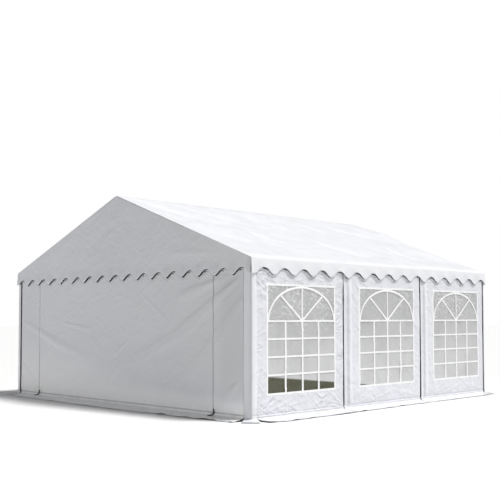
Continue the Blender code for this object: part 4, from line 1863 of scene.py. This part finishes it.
@dataclass
class Marquee:
    """The whole tent: which sheets it has, and where their folds and seams are.

    Attributes:
        seams: Where the window walls of a long side end.
        gaps: Half the gap between them there.
        pockets: Where the pocket over a post ends in each window wall.
        door_half: Half the width of a door, to the middle of its zips.
        door_gap: From there to the door's sheet and to the strip's.
        strip_end: Where the end walls' strips end, at the corners.
        sleeve: Where the corner sleeves end on the end walls.
    """

    canopy: RoofCanopy = field(default_factory=RoofCanopy)
    seams: tuple[float, ...] = (-1.062, 0.929, 2.9185)
    gaps: tuple[float, ...] = (0.0065, 0.0145, 0.0135)
    pockets: tuple[float, ...] = (-2.877, -0.859, 1.153)
    door_half: float = 2.25
    door_gap: float = 0.002
    strip_end: float = 2.849
    sleeve: float = -2.893

    def fans(self, left: float, right: float) -> tuple[Fold, ...]:
        """The folds that fan out from the corners of a window wall.

        Args:
            left: Where its pocket ends, left of the window.
            right: Its right edge.

        Returns:
            The folds.
        """
        return (
            Fold((left + 0.02, 2.00), (left + 0.30, 1.66), 0.016, 0.010),
            Fold((left + 0.08, 2.02), (left + 0.46, 1.80), 0.016, 0.009),
            Fold((left + 0.20, 2.02), (left + 0.74, 1.86), 0.016, 0.007),
            Fold((left + 0.02, 1.98), (left + 0.17, 1.30), 0.018, 0.008),
            Fold((left + 0.03, 0.08), (left + 0.27, 0.30), 0.015, 0.011),
            Fold((left + 0.05, 0.08), (left + 0.45, 0.29), 0.014, 0.010),
            Fold((left + 0.09, 0.08), (left + 0.70, 0.24), 0.015, 0.010),
            Fold((left + 0.30, 0.08), (left + 1.10, 0.25), 0.018, 0.008),
            Fold((left + 0.90, 0.08), (left + 1.50, 0.22), 0.018, 0.007),
            Fold((right - 0.01, 1.10), (right - 0.20, 1.36), 0.014, 0.009),
            Fold((right - 0.01, 0.90), (right - 0.20, 1.06), 0.014, 0.009),
            Fold((right - 0.01, 0.50), (right - 0.22, 0.70), 0.014, 0.009),
            Fold((right - 0.01, 1.50), (right - 0.20, 1.76), 0.014, 0.009),
            Fold((right - 0.01, 0.66), (right - 0.18, 0.74), 0.012, 0.007),
            Fold((right - 0.02, 0.10), (right - 0.60, 0.22), 0.016, 0.008),
        )

    def long_wall(self, side: Side) -> None:
        """Hangs the three window walls of a long side."""
        label = side.name.lower()
        wrap = -(CORNER_POST + POST_BEND + 0.105)
        lefts = (wrap, *(seam + gap for seam, gap in zip(self.seams[:2], self.gaps)))
        rights = tuple(seam - gap for seam, gap in zip(self.seams, self.gaps))
        for bay, pocket in enumerate(self.pockets):
            wall = WindowWall(
                name=f"wall_sheet_{label}_{bay + 1}",
                side=side,
                left=lefts[bay],
                right=rights[bay],
                crumple=Crumple(SEEDS[side] + bay, billow=0.004, crease=0.012),
                folds=self.fans(pocket, rights[bay]),
                strip=(lefts[bay], pocket),
                step=0.014 if side is Side.RIGHT else 0.024,
                finish=Sheeting() if bay == 0 else EVEN_SHEETING,
                flap=Flap(wrap, pocket) if bay == 0 else None,
                start=bay * BAY - HALF,
            )
            wall.dress(f"window_wall_{label}_{bay + 1}")
            wall.dress_window(f"window_{label}_{bay + 1}")

    def pulls(self, side: Side) -> tuple[Fold, ...]:
        """The long folds of an end wall. The back's are the front's, moved and stretched a little."""
        front = (
            Fold((2.72, 1.88), (1.30, 1.00), 0.055, 0.034),
            Fold((1.90, 1.30), (0.13, 0.58), 0.065, 0.032),
            Fold((2.86, 1.66), (2.05, 0.78), 0.060, 0.040),
            Fold((2.50, 1.20), (1.60, 0.48), 0.060, 0.024),
            Fold((1.75, 0.62), (0.99, 0.15), 0.065, 0.026),
            Fold((2.30, 1.88), (1.50, 1.66), 0.050, 0.022),
            Fold((-2.84, 1.32), (-1.30, 0.83), 0.045, 0.026),
            Fold((-1.70, 0.95), (-0.75, 0.70), 0.050, 0.016),
            Fold((-2.84, 0.58), (-2.28, 0.12), 0.040, 0.028),
            Fold((2.74, 0.50), (2.33, 0.12), 0.050, 0.026),
            Fold((-0.10, 0.76), (0.32, 1.03), 0.020, 0.009),
            Fold((0.05, 1.27), (0.28, 1.10), 0.020, 0.009),
            Fold((-0.34, 0.26), (0.15, 0.68), 0.022, 0.009),
            Fold((-1.60, 1.30), (-0.60, 1.18), 0.026, 0.009),
            Fold((-2.10, 0.52), (-0.90, 0.38), 0.026, 0.009),
            Fold((0.60, 1.75), (1.30, 1.30), 0.026, 0.009),
        )
        if side is Side.FRONT:
            return front
        return tuple(
            Fold((f.start[0] - 0.08, f.start[1] - 0.06), (f.end[0] + 0.2, f.end[1] + 0.1), f.width, f.height)
            for f in front
        )

    def end_wall(self, side: Side) -> None:
        """Hangs an end's two wall strips, its door and its zips."""
        label = side.name.lower()
        folds = self.pulls(side)
        inner, outer = self.door_half - self.door_gap, self.door_half + self.door_gap
        door_step = 0.02 if side is Side.FRONT else 0.034
        spans = (
            ("strip_sheet_{}_left", "end_wall_{}_left", -self.strip_end, -outer, 0.02),
            ("door_sheet_{}", "door_{}", -inner, inner, door_step),
            ("strip_sheet_{}_right", "end_wall_{}_right", outer, self.strip_end, 0.02),
        )
        for name, node, left, right, step in spans:
            sheet = WallSheet(
                name=name.format(label),
                side=side,
                left=left,
                right=right,
                crumple=Crumple(SEEDS[side], billow=0.006, crease=0.0030, lean=22.0),
                folds=folds,
                step=step,
                finish=CALM_SHADED_SHEETING,
            )
            sheet.dress(node.format(label))
            if node.startswith("door_"):
                for hand, zip_side in ((-1.0, "left"), (1.0, "right")):
                    ZipLine(sheet, hand * self.door_half).dress(f"zip_{label}_{zip_side}")

    def corner_sleeve(self, side: Side) -> None:
        """Adds the sleeve round the corner post left of an end wall."""
        end = CORNER_POST + POST_BEND + 0.022
        sleeve = CornerSleeve(
            name=f"corner_sleeve_{side.name.lower()}",
            side=side,
            left=-end,
            right=self.sleeve,
            crumple=Crumple(SEEDS[side] + 7, billow=0.003, crease=0.003),
            flap=Flap(-end, self.sleeve),
            step=0.012,
        )
        piece = SHOP.piece(sleeve.name, sleeve.build(), CALM_SHADED_SHEETING, SHEETING_SLOT)
        SHOP.thicken(piece, SHEET)

    def build(self, nodes: dict[str, bpy.types.Object]) -> None:
        """Builds every sub-assembly in order. The CAD nodes are given by name."""
        SteelFrame().dress(nodes)
        self.canopy.dress()
        creases = (
            Fold((-0.20, 3.00), (0.60, 2.44), 0.09, 0.006),
            Fold((-0.10, 2.85), (-0.85, 2.45), 0.09, -0.005),
            Fold((2.35, 2.26), (1.20, 2.34), 0.05, 0.005),
        )
        for side, seed in ((Side.FRONT, 31), (Side.BACK, 32)):
            crumple = Crumple(seed, billow=0.005, crease=0.0025, lean=48.0)
            GableSheet(side, self.canopy, crumple, creases).dress()
        for side in (Side.RIGHT, Side.LEFT):
            self.long_wall(side)
        for side in (Side.FRONT, Side.BACK):
            self.end_wall(side)
            self.corner_sleeve(side)


def main() -> None:
    """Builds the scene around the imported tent."""
    logging.basicConfig(level=logging.INFO, format="%(message)s")
    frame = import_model()
    studio = Studio()
    studio.set_camera()
    studio.set_light()
    studio.lay_floor()
    Marquee().build(frame["nodes"])


if __name__ == "__main__":
    main()
